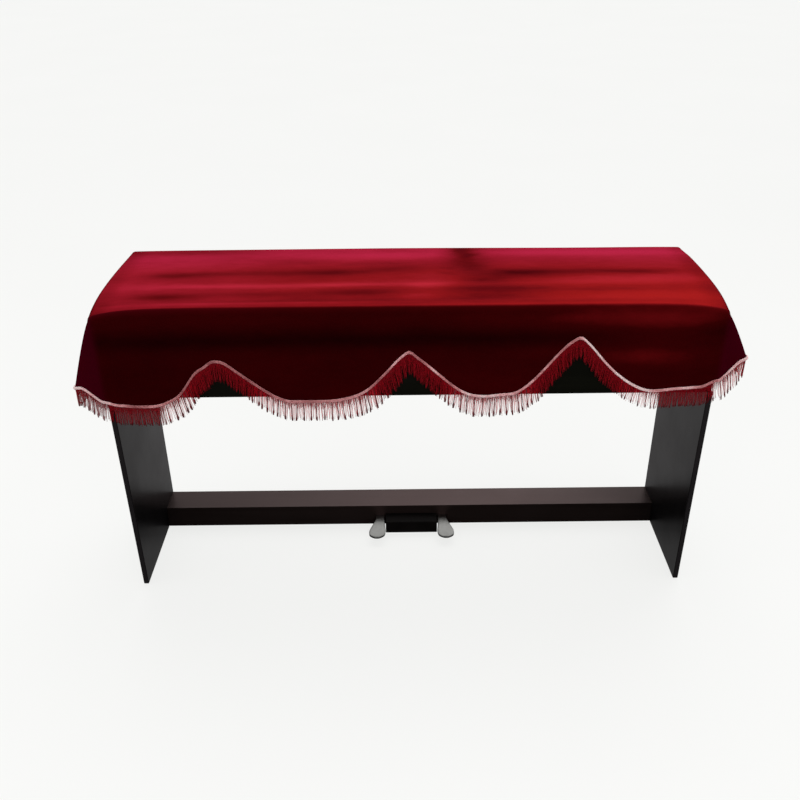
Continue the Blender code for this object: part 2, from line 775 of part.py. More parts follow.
def main():
    clear_scene()
    velvet = finish("velvet")
    board = finish("board")
    steel = finish("steel")
    build_case(board)
    build_leg("leg_left", -1, board)
    build_leg("leg_right", 1, board)
    build_rail(board)
    build_pedal_box(board)
    build_pedal("pedal_left", -1, steel)
    build_pedal("pedal_right", 1, steel)
    build_cover(velvet)
    build_braid(finish("braid"))
    build_fringe(finish("fringe"))


main()
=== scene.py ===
"""The looks of a velvet piano cover draped over a plain digital piano console.

Metres, +Z up, +X to the player's right and -Y towards the player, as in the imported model.
Depths are counted from the case's front face, backwards.
"""

import bisect
import math
import random

import bmesh
import bpy
from mathutils import Matrix, Vector


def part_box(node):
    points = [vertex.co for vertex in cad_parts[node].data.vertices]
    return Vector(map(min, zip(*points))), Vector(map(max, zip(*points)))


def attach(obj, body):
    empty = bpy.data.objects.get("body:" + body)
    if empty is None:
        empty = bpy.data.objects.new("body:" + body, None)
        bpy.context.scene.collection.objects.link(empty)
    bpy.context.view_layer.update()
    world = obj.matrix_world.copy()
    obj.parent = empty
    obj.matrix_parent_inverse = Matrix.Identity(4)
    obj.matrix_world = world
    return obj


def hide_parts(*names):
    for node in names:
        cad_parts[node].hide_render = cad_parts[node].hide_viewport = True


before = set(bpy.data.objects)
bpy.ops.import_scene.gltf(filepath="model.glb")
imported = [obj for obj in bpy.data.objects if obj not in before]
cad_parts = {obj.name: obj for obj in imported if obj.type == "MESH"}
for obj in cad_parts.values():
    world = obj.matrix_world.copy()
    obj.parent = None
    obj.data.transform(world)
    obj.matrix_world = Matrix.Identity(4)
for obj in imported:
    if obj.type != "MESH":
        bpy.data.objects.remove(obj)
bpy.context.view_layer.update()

# ---- places taken from the frame ----
CASE_FRONT_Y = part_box("case")[0].y
RAIL_FRONT_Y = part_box("pedal_rail")[0].y

# ---- the cover's sizes, as in the source ----
CLOTH_THICKNESS = 0.0018
SHOULDER_RADIUS = 0.014
FRONT_DEPTH = -0.006  # outer face of the front drop
BACK_DEPTH = 0.372  # outer face of the back drop
SIDE_X = {-1: 0.6895, 1: 0.6865}  # outer face of the side drops at the front corners
SIDE_BULGE = 0.006  # how much further out the side drops lie midway
SIDE_SWING = 0.006  # the same at their hems
BACK_INSET = {-1: 0.003, 1: 0.0045}  # how much further in the back corners lie, at the shoulder
BACK_HEM_INSET = 0.003  # and at the hem
BACK_SWING_SHARE = 0.5  # of the front folds, on the back drop
SHOULDER_INSET = 0.0165  # how far in from a side face the top's edge lies
TOP_HALF_X = {side: reach - SHOULDER_INSET for side, reach in SIDE_X.items()}
TOP_FRONT_DEPTH = FRONT_DEPTH + SHOULDER_RADIUS
TOP_BACK_DEPTH = BACK_DEPTH - SHOULDER_RADIUS
TOP_MIDDLE_DEPTH = 0.5 * (TOP_FRONT_DEPTH + TOP_BACK_DEPTH)
CORNER_STEPS = (0.0, 0.005, 0.012)  # how far from the top's corners its first places lie
HEM_BAND = 0.008  # height of the lowest row of cells, under the braid

CROWN_Z = 0.7625
FRONT_SAG = 0.0145  # how far the front corners hang below the crown
BACK_SAG = 0.0012  # the same at the back corners
SIDE_SAG = 0.0017  # and halfway along a side edge
BACK_FALL = 0.0038  # how much lower the back edge lies at its right end
BACK_FALL_X = (-0.1, 0.5)  # where that begins and is full
BACK_FALL_DEPTH = 0.28  # how far back it begins
SAG_POWER = 12  # how late the crown falls off towards the sides
RIM_POWER = 4  # and how late the side edges do towards the corners
DROP_POWER = 0.85  # under 1, so that the drops swell out early on their way down
CALM_ENDS = 0.125  # share of the half top over which waves fade in from its ends
CALM_EDGES = 0.25  # and from its front and back edges
WAVE_TAPER = 0.8
# wave on the top: middle x, half length, depth, half width, height, depth shift at its ends
TOP_WAVES = (
    (-0.1, 0.58, 0.15, 0.02, -0.0034, 0.01),
    (0.34, 0.3, 0.14, 0.018, -0.0026, -0.008),
    (-0.45, 0.22, 0.046, 0.016, -0.003, 0.0),
    (0.22, 0.4, 0.05, 0.018, -0.0026, 0.006),
    (-0.05, 0.62, 0.095, 0.024, 0.0024, 0.0),
    (0.0, 0.66, 0.3, 0.03, 0.002, 0.004),
    (0.15, 0.06, 0.235, 0.045, -0.004, 0.0),
)
# soft vertical fold on the front drop: x, half width, how far it swings forward at the hem
FRONT_FOLDS = (
    (-0.6, 0.06, 0.004),
    (-0.3, 0.08, 0.006),
    (0.18, 0.09, 0.005),
    (0.56, 0.07, 0.006),
)
# start_x, start_z, peak_x, peak_z, end_x, end_z, rise power, fall power, rounding of the tip
HEM_SCALLOPS = (
    (-0.572, 0.5295, -0.437, 0.666, -0.267, 0.539, 1.75, 1.4, 0.0215),
    (-0.193, 0.537, -0.001, 0.691, 0.215, 0.546, 2.4, 2.9, 0.0265),
    (0.23, 0.549, 0.371, 0.709, 0.535, 0.557, 1.18, 1.66, 0.0145),
)
TIP_WIDTH = 0.02
# small unevenness of the front hem: x, half width, change in height
HEM_TRIMS = (
    (-0.518, 0.018, -0.005), (-0.478, 0.014, 0.0045), (-0.448, 0.018, -0.0045),
    (-0.35, 0.045, 0.0038), (-0.103, 0.03, -0.0035), (-0.036, 0.022, -0.0045),
    (0.024, 0.018, -0.0055), (0.072, 0.035, 0.0045), (0.13, 0.035, -0.0035),
    (0.211, 0.028, 0.0055), (0.267, 0.028, -0.0035), (0.423, 0.055, -0.005),
    (0.64, 0.055, -0.0025), (0.7, 0.022, -0.005),
)
HEM_BLUR = 0.011  # how far to each side the front hem is evened out
HEM_BLUR_STEPS = 3
HEM_CORNER_Z = {-1: 0.541, 1: 0.584}
HEM_CLIMB = 0.045  # run over which the hem climbs to a corner
RIGHT_LIFT = 0.0065  # a slow rise right of the last scallop
RIGHT_LIFT_RUN = 0.07
HEM_FLARE_Z = {-1: 0.584, 1: 0.64}
SIDE_PEAK_Z = {-1: 0.642, 1: 0.69}
SIDE_PEAK_DEPTH = 0.16
SIDE_LOW_DEPTH = 0.342
BACK_HEM_Z = 0.545
FLARE_HEM_FALL = {-1: 0.05, 1: 0.2}
FLARE_SHARE = {-1: 0.93, 1: 0.86}  # of the front corners' outward flare

# A row for each control column round a corner: inwards from the side face and from the drop's face
# at the shoulder, then the same two at the hem
FRONT_CORNER = (
    (0.0125, 0.0, 0.0015, 0.0),
    (0.006, 0.0002, -0.035, -0.0125),
    (0.0015, 0.0015, -0.052, -0.014),
    (0.0002, 0.0065, -0.049, 0.005),
    (0.0, 0.015, 0.0, 0.09),
)
BACK_CORNER = (
    (0.0125, 0.0, 0.012, 0.0),
    (0.006, 0.0002, -0.002, -0.009),
    (0.0015, 0.0015, -0.009, -0.011),
    (0.0002, 0.0065, -0.008, -0.002),
    (0.0, 0.015, 0.0, 0.035),
)
FLARE_TIP = 2  # the row at a flare's tip: the rows after it are the side's

# ---- how fine the visible cloth is ----
FRONT_CELLS = 190
SIDE_CELLS = 44
CORNER_CELLS = (6, 4, 4, 6)  # fine cells between a corner's control columns
CORNER_LEAD = 6  # how many plain cells away a corner's curve takes its direction
SHOULDER_STEPS = 8
DROP_CELLS = 38

# soft crease on the top: from x, from depth, to x, to depth, half width, height
TOP_CREASES = (
    (0.055, 0.205, 0.125, 0.178, 0.0075, -0.0016),
    (0.06, 0.232, 0.118, 0.214, 0.007, -0.0012),
    (0.105, 0.16, 0.19, 0.15, 0.008, -0.0012),
    (0.185, 0.215, 0.26, 0.19, 0.009, -0.001),
    (0.12, 0.285, 0.2, 0.33, 0.011, -0.0013),
    (0.36, 0.215, 0.64, 0.17, 0.01, -0.001),
    (0.4, 0.095, 0.655, 0.105, 0.012, -0.0011),
    (-0.64, 0.2, -0.3, 0.215, 0.011, -0.001),
    (-0.6, 0.11, -0.35, 0.104, 0.008, -0.0009),
    (-0.2, 0.25, 0.04, 0.262, 0.01, -0.001),
)
CREASE_TAPER = 0.35  # share of a crease over which each end fades
# soft vertical draw on the front drop: x at the shoulder, x at the hem, half width, forward swing
FRONT_DRAWS = (
    (-0.655, -0.64, 0.014, -0.004),
    (-0.52, -0.505, 0.022, 0.0022),
    (-0.4, -0.415, 0.02, -0.0018),
    (-0.1, -0.085, 0.026, 0.0024),
    (0.03, 0.01, 0.02, -0.0016),
    (0.3, 0.285, 0.024, 0.002),
    (0.44, 0.455, 0.022, -0.0018),
    (0.65, 0.632, 0.016, -0.0036),
)
DRAW_FULL = 0.7  # how far down a drop its draws are full


def at_depth(depth):
    """World y of a depth behind the case's front face."""
    return CASE_FRONT_Y + depth


def smooth(value):
    value = min(max(value, 0.0), 1.0)
    return value * value * (3.0 - 2.0 * value)


def eased(value, start, end):
    """0 before start, 1 past end, and a soft step between them."""
    return smooth((value - start) / (end - start))


def bump(distance, half_width):
    """A soft hump, 1 at distance 0."""
    return math.exp(-((distance / half_width) ** 2))


def blend(low, high, share):
    return low + (high - low) * share


def stretch_at(knots, place):
    """Which stretch between rising knots holds a place."""
    return min(max(bisect.bisect_left(knots, place) - 1, 0), len(knots) - 2)


def read_table(table, x):
    """A value between the rows (x, value) of a table."""
    for (low_x, low), (high_x, high) in zip(table, table[1:]):
        if x < high_x:
            return blend(low, high, eased(x, low_x, high_x))
    return table[-1][1]


# ---- the cover's form ----
def side_reach(share, swell, inset):
    """How much further out than at the front a side face lies, at a share of the way back."""
    return swell * math.sin(math.pi * share) - inset * share


def side_of(x):
    return -1 if x < 0.0 else 1


def top_half_width(side, depth):
    share = (depth - TOP_FRONT_DEPTH) / (TOP_BACK_DEPTH - TOP_FRONT_DEPTH)
    return TOP_HALF_X[side] + side_reach(share, SIDE_BULGE, BACK_INSET[side])


def widened(x, depth):
    """Where a column of the top's front edge lies at a depth, the side edges being bowed."""
    side = side_of(x)
    return x * top_half_width(side, depth) / TOP_HALF_X[side]


def crease_share(x, depth, crease):
    """How deep a place lies in a crease: 1 on its line, fading to its sides and its two ends."""
    start = Vector(crease[0:2])
    run = Vector(crease[2:4]) - start
    place = Vector((x, depth)) - start
    along = place.dot(run) / run.length_squared
    across = (place - run * along).length
    taper = smooth(along / CREASE_TAPER) * smooth((1.0 - along) / CREASE_TAPER)
    return taper * bump(across, crease[4])


def top_height(x, depth):
    """The cover's outer face over the case: a crown with long left-to-right waves and creases."""
    across = abs(x) / top_half_width(side_of(x), depth)
    along = abs(depth - TOP_MIDDLE_DEPTH) / (TOP_BACK_DEPTH - TOP_MIDDLE_DEPTH)
    calm = smooth((1.0 - along) / CALM_EDGES) * smooth((1.0 - across) / CALM_ENDS)
    corner_sag = FRONT_SAG if depth < TOP_MIDDLE_DEPTH else BACK_SAG
    z = CROWN_Z - blend(SIDE_SAG, corner_sag, along ** RIM_POWER) * across ** SAG_POWER
    z -= BACK_FALL * eased(x, *BACK_FALL_X) * eased(depth, BACK_FALL_DEPTH, TOP_BACK_DEPTH)
    for wave_x, half_length, wave_depth, half_width, height, shift in TOP_WAVES:
        reach = (x - wave_x) / half_length
        across_wave = bump(depth - wave_depth - shift * reach, half_width)
        z += height * calm * across_wave * bump(reach, WAVE_TAPER)
    for crease in TOP_CREASES:
        z += crease[5] * calm * crease_share(x, depth, crease)
    return z


def scalloped_height(x):
    """Height of the front hem without its small unevenness."""
    side = side_of(x)
    climb = smooth((abs(x) - SIDE_X[side]) / HEM_CLIMB + 1.0)
    low_x, low_z = HEM_SCALLOPS[0][:2]
    if x <= low_x:
        return blend(low_z, HEM_CORNER_Z[-1], climb)
    for start_x, start_z, peak_x, peak_z, end_x, end_z, rise, fall, tip in HEM_SCALLOPS:
        if x > end_x:
            low_x, low_z = end_x, end_z
            continue
        if x < start_x:
            return blend(low_z, start_z, eased(x, low_x, start_x))
        if x < peak_x:
            z = blend(start_z, peak_z, ((x - start_x) / (peak_x - start_x)) ** rise)
        else:
            z = blend(end_z, peak_z, ((end_x - x) / (end_x - peak_x)) ** fall)
        return z - tip * bump(x - peak_x, TIP_WIDTH)
    low_z += RIGHT_LIFT * smooth((x - low_x) / RIGHT_LIFT_RUN)
    return blend(low_z, HEM_CORNER_Z[1], climb)


def hem_height(x):
    """Height of the front hem, evened out over a short run."""
    total = 0.0
    for k in range(-HEM_BLUR_STEPS, HEM_BLUR_STEPS + 1):
        near_x = x + HEM_BLUR * k / HEM_BLUR_STEPS
        trims = (change * bump(near_x - trim_x, half_width)
                 for trim_x, half_width, change in HEM_TRIMS)
        weight = (HEM_BLUR_STEPS + 1 - abs(k)) / (HEM_BLUR_STEPS + 1) ** 2
        total += weight * (scalloped_height(near_x) + sum(trims))
    return total


def side_hem_height(side, depth):
    """Height of a side hem: it climbs from the flare to one peak and falls to the back."""
    if depth < SIDE_PEAK_DEPTH:
        return blend(HEM_FLARE_Z[side], SIDE_PEAK_Z[side], eased(depth, 0.0, SIDE_PEAK_DEPTH))
    return blend(SIDE_PEAK_Z[side], BACK_HEM_Z, eased(depth, SIDE_PEAK_DEPTH, SIDE_LOW_DEPTH))


def insets(side, is_back):
    """How much further in a drop's corner lies than SIDE_X, at the shoulder and at the hem."""
    return (BACK_INSET[side], BACK_HEM_INSET) if is_back else (0.0, 0.0)


# A column is (shoulder x, shoulder depth, hem x, hem depth, hem z), as one flat tuple
def flat_column(x, is_back):
    """A plain column of the front or back drop, below a place on the top's edge."""
    side = side_of(x)
    inset, hem_inset = insets(side, is_back)
    top_end = TOP_HALF_X[side] - CORNER_STEPS[-1]
    shoulder_x = x * (SIDE_X[side] - inset - FRONT_CORNER[0][0]) / top_end
    hem_x = x * (SIDE_X[side] - hem_inset - FRONT_CORNER[0][2]) / top_end
    swing = sum(out * bump(hem_x - fold_x, half) for fold_x, half, out in FRONT_FOLDS)
    if is_back:
        return (shoulder_x, BACK_DEPTH, hem_x, BACK_DEPTH + BACK_SWING_SHARE * swing, BACK_HEM_Z)
    return (shoulder_x, FRONT_DEPTH, hem_x, FRONT_DEPTH - swing, hem_height(hem_x))


def corner_column(side, is_back, index):
    """A control column of a corner."""
    in_x_top, in_y_top, in_x_hem, in_y_hem = (BACK_CORNER if is_back else FRONT_CORNER)[index]
    face, inward = (BACK_DEPTH, -1.0) if is_back else (FRONT_DEPTH, 1.0)
    flare = 1.0 if is_back else FLARE_SHARE[side]
    inset, hem_inset = insets(side, is_back)
    hem_x = side * (SIDE_X[side] - hem_inset - in_x_hem * flare)
    hem_depth = face + inward * in_y_hem
    if index > FLARE_TIP:
        hem_z = side_hem_height(side, hem_depth)
    elif is_back:
        hem_z = BACK_HEM_Z
    elif index == 0:
        hem_z = hem_height(hem_x)
    else:
        fall = (HEM_FLARE_Z[side] - HEM_CORNER_Z[side]) * FLARE_HEM_FALL[side]
        hem_z = HEM_FLARE_Z[side] - fall * (FLARE_TIP - index)
    return (side * (SIDE_X[side] - inset - in_x_top), face + inward * in_y_top,
            hem_x, hem_depth, hem_z)


def side_column(side, share):
    """A plain column of a side drop, between its front corner (share 0) and its back corner (1)."""
    start, end = (corner_column(side, is_back, len(FRONT_CORNER) - 1) for is_back in (False, True))
    hem_depth = blend(start[3], end[3], share)
    return (
        side * (SIDE_X[side] + side_reach(share, SIDE_BULGE, BACK_INSET[side])),
        blend(start[1], end[1], share),
        side * (SIDE_X[side] + side_reach(share, SIDE_SWING, BACK_HEM_INSET)),
        hem_depth,
        side_hem_height(side, hem_depth),
    )


def through(knots, rows, place):
    """A smooth curve through rows of numbers at rising knots."""
    k = stretch_at(knots, place)
    span = knots[k + 1] - knots[k]
    t = (place - knots[k]) / span

    def slope(i, value):
        low, high = max(i - 1, 0), min(i + 1, len(knots) - 1)
        return (rows[high][value] - rows[low][value]) / (knots[high] - knots[low])

    return tuple(
        (2 * t ** 3 - 3 * t ** 2 + 1) * rows[k][value]
        + (t ** 3 - 2 * t ** 2 + t) * span * slope(k, value)
        + (3 * t ** 2 - 2 * t ** 3) * rows[k + 1][value]
        + (t ** 3 - t ** 2) * span * slope(k + 1, value)
        for value in range(len(rows[0]))
    )


def corner_columns(side, is_back):
    """The fine columns round a corner, from its front or back drop to its side drop."""
    plain_end = TOP_HALF_X[side] - CORNER_STEPS[-1]
    before_x = side * plain_end * (1.0 - 2.0 * CORNER_LEAD / FRONT_CELLS)
    lead_share = CORNER_LEAD / SIDE_CELLS
    rows = [flat_column(before_x, is_back)]
    rows += [corner_column(side, is_back, index) for index in range(len(FRONT_CORNER))]
    rows.append(side_column(side, 1.0 - lead_share if is_back else lead_share))
    knots = [0.0]
    for low, high in zip(rows, rows[1:]):
        knots.append(knots[-1] + math.sqrt(math.dist(low[2:4], high[2:4])))
    fine = [through(knots, rows, blend(knots[k], knots[k + 1], i / cells))
            for k, cells in enumerate(CORNER_CELLS, start=1) for i in range(cells)]
    return fine + [rows[-2]]


def column_points(top_x, top_depth, column):
    """The outer points of one column from the shoulder's first step down to the hem."""
    shoulder_x, shoulder_depth, hem_x, hem_depth, hem_z = column
    foot_z = top_height(top_x, top_depth) - SHOULDER_RADIUS
    points = []
    for step in range(1, SHOULDER_STEPS + 1):
        turn = 0.5 * math.pi * step / SHOULDER_STEPS
        points.append((
            blend(top_x, shoulder_x, math.sin(turn)),
            at_depth(blend(top_depth, shoulder_depth, math.sin(turn))),
            foot_z + SHOULDER_RADIUS * math.cos(turn),
        ))
    band = HEM_BAND / (foot_z - hem_z)
    for share in [(1.0 - band) * k / DROP_CELLS for k in range(1, DROP_CELLS + 1)] + [1.0]:
        swell = share ** DROP_POWER
        x = blend(shoulder_x, hem_x, swell)
        depth = blend(shoulder_depth, hem_depth, swell)
        if shoulder_depth < 0.0:  # only the front drop lies before the case's front face
            drawn = sum(forward * bump(x - blend(draw_x, draw_hem_x, share), half_width)
                        for draw_x, draw_hem_x, half_width, forward in FRONT_DRAWS)
            depth -= drawn * smooth(share / DRAW_FULL)
        points.append((x, at_depth(depth), blend(foot_z, hem_z, share)))
    return points


def edge_places(low, high, plain_cells):
    """Fine places along one edge of the top: a corner's close steps, even cells, close steps."""
    steps = [0.0]
    for near, far, cells in zip(CORNER_STEPS, CORNER_STEPS[1:], CORNER_CELLS[2:]):
        steps += [blend(near, far, (k + 1) / cells) for k in range(cells)]
    first = low + steps[-1]
    last = high - steps[-1]
    places = [low + step for step in steps]
    places += [blend(first, last, i / plain_cells) for i in range(1, plain_cells)]
    return places + [high - step for step in reversed(steps)]


def lay_out_cover():
    """The top's xs and depths, and for each drop (top x, top depth, points) of its columns.

    The drops follow each other round the cover: front, right side, back, left side.
    """
    xs = edge_places(-TOP_HALF_X[-1], TOP_HALF_X[1], FRONT_CELLS)
    depths = edge_places(TOP_FRONT_DEPTH, TOP_BACK_DEPTH, SIDE_CELLS)
    half = sum(CORNER_CELLS[:2])
    corners = {(side, is_back): corner_columns(side, is_back)
               for side in (-1, 1) for is_back in (False, True)}

    def hung(places, columns):
        return [(x, depth, column_points(x, depth, column))
                for (x, depth), column in zip(places, columns)]

    def flat_drop(is_back):
        depth = TOP_BACK_DEPTH if is_back else TOP_FRONT_DEPTH
        plain = [flat_column(x, is_back) for x in xs[half + 1:-half - 1]]
        return hung([(widened(x, depth), depth) for x in xs],
                    corners[-1, is_back][half::-1] + plain + corners[1, is_back][:half + 1])

    def side_drop(side):
        plain = [side_column(side, i / SIDE_CELLS) for i in range(1, SIDE_CELLS)]
        return hung([(side * top_half_width(side, depth), depth) for depth in depths[1:-1]],
                    corners[side, False][half + 1:] + plain + corners[side, True][:half:-1])

    return xs, depths, {
        "front": flat_drop(False),
        "right": side_drop(1),
        "back": flat_drop(True)[::-1],
        "left": side_drop(-1)[::-1],
    }


# ---- mesh helpers ----
def add_to_scene(name, data):
    item = bpy.data.objects.new(name, data)
    bpy.context.scene.collection.objects.link(item)
    return item


def add_object(name, vertices, faces, material, attributes=None):
    """A smooth-shaded mesh object with named float values on its points."""
    mesh = bpy.data.meshes.new(name)
    mesh.from_pydata(vertices, [], faces)
    mesh.validate()
    for key, values in (attributes or {}).items():
        layer = mesh.attributes.new(key, "FLOAT", "POINT")
        layer.data.foreach_set("value", values)
    mesh.shade_smooth()
    mesh.materials.append(material)
    return add_to_scene(name, mesh)


def facing_out(item):
    """Turns the faces of a closed mesh outwards."""
    builder = bmesh.new()
    builder.from_mesh(item.data)
    bmesh.ops.recalc_face_normals(builder, faces=builder.faces)
    builder.to_mesh(item.data)
    builder.free()


def quads(first, second):
    """The faces between two neighbouring lines of points."""
    return [(first[i], first[i + 1], second[i + 1], second[i]) for i in range(len(first) - 1)]


def tube_faces(start, rings, sides):
    """The walls and caps of a tube whose points follow each other, ring by ring, from start."""
    lines = [[start + i * sides + k for k in (*range(sides), 0)] for i in range(rings)]
    walls = [face for line, after in zip(lines, lines[1:]) for face in quads(line, after)]
    return walls + [lines[0][sides - 1::-1], lines[-1][:sides]]


class Tubes:
    """Many tubes gathered into one mesh, with float values at each point."""

    def __init__(self, *keys):
        self.vertices = []
        self.faces = []
        self.values = {key: [] for key in keys}

    def add(self, path, radii, sides, **values):
        """A capped tube along a path. values holds a list for each key, one number a path point."""
        self.faces += tube_faces(len(self.vertices), len(path), sides)
        side = None
        for i, point in enumerate(path):
            run = (path[min(i + 1, len(path) - 1)] - path[max(i - 1, 0)]).normalized()
            if side is None:
                side = run.orthogonal().normalized()
            side = (side - run * side.dot(run)).normalized()
            up = run.cross(side)
            for k in range(sides):
                turn = math.tau * k / sides
                out = side * math.cos(turn) + up * math.sin(turn)
                self.vertices.append(point + out * radii[i])
            for key, numbers in values.items():
                self.values[key] += [numbers[i]] * sides

    def make(self, name, material):
        tubes = add_object(name, self.vertices, self.faces, material, self.values)
        facing_out(tubes)
        return tubes


# ---- node helpers ----
class Nodes:
    """Short calls for one node tree. A socket takes a number, a colour or a node's output."""

    def __init__(self, owner, shader="Principled BSDF", place="Object"):
        owner.use_nodes = True
        self.owner = owner
        self.tree = owner.node_tree
        self.shader = self.tree.nodes[shader]
        self.place = self.add("TexCoord", place)

    def feed(self, socket, item):
        if isinstance(item, bpy.types.NodeSocket):
            self.tree.links.new(item, socket)
        else:
            socket.default_value = (*item, 1.0) if socket.type == "RGBA" else item

    def put(self, node=None, **inputs):
        """Feeds sockets by their names: the shader's own, or another node's."""
        sockets = (self.shader if node is None else node).inputs
        for key, item in inputs.items():
            self.feed(sockets[key.replace("_", " ")], item)

    def add(self, kind, output, settings=(), **inputs):
        """The output of a new node, set up before its sockets are fed."""
        node = self.tree.nodes.new("ShaderNode" + kind)
        for key, item in settings:
            setattr(node, key, item)
        self.put(node, **inputs)
        return node.outputs[output]

    def value(self, key):
        return self.add("Attribute", "Fac", [("attribute_name", key)])

    def stretched(self, scale):
        return self.add("Mapping", "Vector", Scale=scale, Vector=self.place)

    def noise(self, scale, detail, roughness, stretch=(1.0, 1.0, 1.0)):
        return self.add("TexNoise", "Fac", Scale=scale, Detail=detail, Roughness=roughness,
                        Vector=self.stretched(stretch))

    def twists(self, scale, distortion, stretch=(1.0, 1.0, 1.0)):
        """Slanting bands."""
        return self.add("TexWave", "Fac", [("bands_direction", "DIAGONAL")], Scale=scale,
                        Distortion=distortion, Vector=self.stretched(stretch))

    def math(self, operation, *items):
        node = self.tree.nodes.new("ShaderNodeMath")
        node.operation = operation
        for socket, item in zip(node.inputs, items):
            self.feed(socket, item)
        return node.outputs[0]

    def spread(self, source, low, high, to_low, to_high):
        return self.add("MapRange", "Result", Value=source, From_Min=low, From_Max=high,
                        To_Min=to_low, To_Max=to_high)

    def uneven(self, noise, low, high):
        """A noise's usual reach, from low to high."""
        return self.spread(noise, 0.3, 0.7, low, high)

    def ramp(self, source, *stops):
        """Colours along a value: (place, red, green, blue) or (place, grey) for each stop."""
        node = self.tree.nodes.new("ShaderNodeValToRGB")
        elements = node.color_ramp.elements
        while len(elements) < len(stops):
            elements.new(0.5)
        for element, (position, *colour) in zip(elements, stops):
            element.position = position
            element.color = (*(colour if len(colour) == 3 else colour * 3), 1.0)
        self.put(node, Fac=source)
        return node.outputs["Color"]

    def mix(self, share, first, second, mode="MIX"):
        return self.add("Mix", "Result", [("data_type", "RGBA"), ("blend_type", mode)],
                        Factor=share, A=first, B=second)

    def parts(self, vector):
        """x, y and z of a vector."""
        node = self.tree.nodes.new("ShaderNodeSeparateXYZ")
        self.put(node, Vector=vector)
        return tuple(node.outputs)

    def relief(self, *layers):
        """Bumps on each other: (height, strength, depth in metres) for each."""
        normal = {}
        for height, strength, distance in layers:
            normal["Normal"] = self.add("Bump", "Normal", Height=height, Strength=strength,
                                        Distance=distance, **normal)
        self.put(**normal)


def new_material(name):
    return Nodes(bpy.data.materials.new(name))


# ---- materials ----
# Velvet from its deepest painted shade to its brightest painted highlight, then the tints mixed
# into the painted highlights (warm, rose) and the painted shade (plum)
VELVET_BLACK = (0.004, 0.0003, 0.0004)
VELVET_DEEP = (0.048, 0.0008, 0.0014)
VELVET_CRIMSON = (0.225, 0.006, 0.0085)
VELVET_BRIGHT = (0.42, 0.017, 0.031)
VELVET_WARM = (0.33, 0.0095, 0.0065)
VELVET_ROSE = (0.42, 0.015, 0.056)
VELVET_PLUM = (0.052, 0.0004, 0.006)


def velvet_material():
    """Cut velvet: a dark ground, painted light and shade lying brighter or darker in patches with a
    random mottle over it, and a soft sheen.
    """
    nodes = new_material("velvet_pile")
    painted_light = nodes.value("painted_light")
    clouds = nodes.noise(7.0, 3.0, 0.5, (0.6, 1.6, 1.6))
    brushed = nodes.noise(60.0, 4.0, 0.6, (0.45, 1.6, 1.0))
    pile = nodes.noise(1500.0, 2.0, 0.6)
    mottled = nodes.math("ADD", nodes.uneven(clouds, -0.055, 0.055),
                         nodes.uneven(brushed, -0.03, 0.03))
    mottled = nodes.math("MULTIPLY", mottled, nodes.spread(painted_light, 0.0, 0.6, 0.35, 1.0))
    level = nodes.math("ADD", painted_light, mottled)
    colour = nodes.ramp(level, (0.0, *VELVET_BLACK), (0.3, *VELVET_DEEP),
                        (0.7, *VELVET_CRIMSON), (1.0, *VELVET_BRIGHT))
    # The warmth tints the painted highlights warm or rosy and the painted shade plum.
    warmth = nodes.value("warmth")
    bright = nodes.spread(level, 0.45, 0.9, 0.0, 1.0)
    dark = nodes.spread(level, 0.25, 0.45, 1.0, 0.0)
    for most_at, most, share, tint in ((1.0, 1.0, bright, VELVET_WARM),
                                       (0.0, 1.0, bright, VELVET_ROSE),
                                       (0.0, 0.8, dark, VELVET_PLUM)):
        tinted = nodes.math("MULTIPLY", nodes.spread(warmth, 0.5, most_at, 0.0, most), share)
        colour = nodes.mix(tinted, colour, tint)
    fibres = nodes.ramp(nodes.uneven(pile, 0.8, 1.15), (0.0, 0.6), (1.0, 1.0))
    nodes.put(Base_Color=nodes.mix(0.5, colour, fibres, "MULTIPLY"),
              Roughness=0.95, Specular_IOR_Level=0.0, Sheen_Weight=0.06, Sheen_Roughness=0.45,
              Sheen_Tint=(1.0, 0.08, 0.16))
    nodes.relief((brushed, 0.25, 0.0012), (pile, 0.35, 0.0006))
    return nodes.owner


def braid_material():
    """Rose-coloured rayon strands, paler where highlights are painted along the hem, with random
    patches.
    """
    nodes = new_material("braid_rayon")
    fine = nodes.noise(900.0, 3.0, 0.6)
    patches = nodes.noise(38.0, 2.0, 0.5)
    level = nodes.math("ADD", nodes.value("tone_and_painted_light"), nodes.uneven(patches, -0.2, 0.2))
    level = nodes.math("ADD", level, nodes.uneven(fine, -0.08, 0.08))
    nodes.put(Base_Color=nodes.ramp(level, (0.0, 0.3, 0.065, 0.072), (0.45, 0.64, 0.245, 0.25),
                                    (0.75, 0.92, 0.48, 0.49), (1.0, 1.0, 0.78, 0.77)),
              Roughness=nodes.uneven(fine, 0.38, 0.58),
              Specular_IOR_Level=0.45, Sheen_Weight=0.5, Sheen_Roughness=0.3,
              Sheen_Tint=(1.0, 0.72, 0.72))
    nodes.relief((nodes.twists(260.0, 1.5), 0.4, 0.0005), (fine, 0.3, 0.0003))
    return nodes.owner


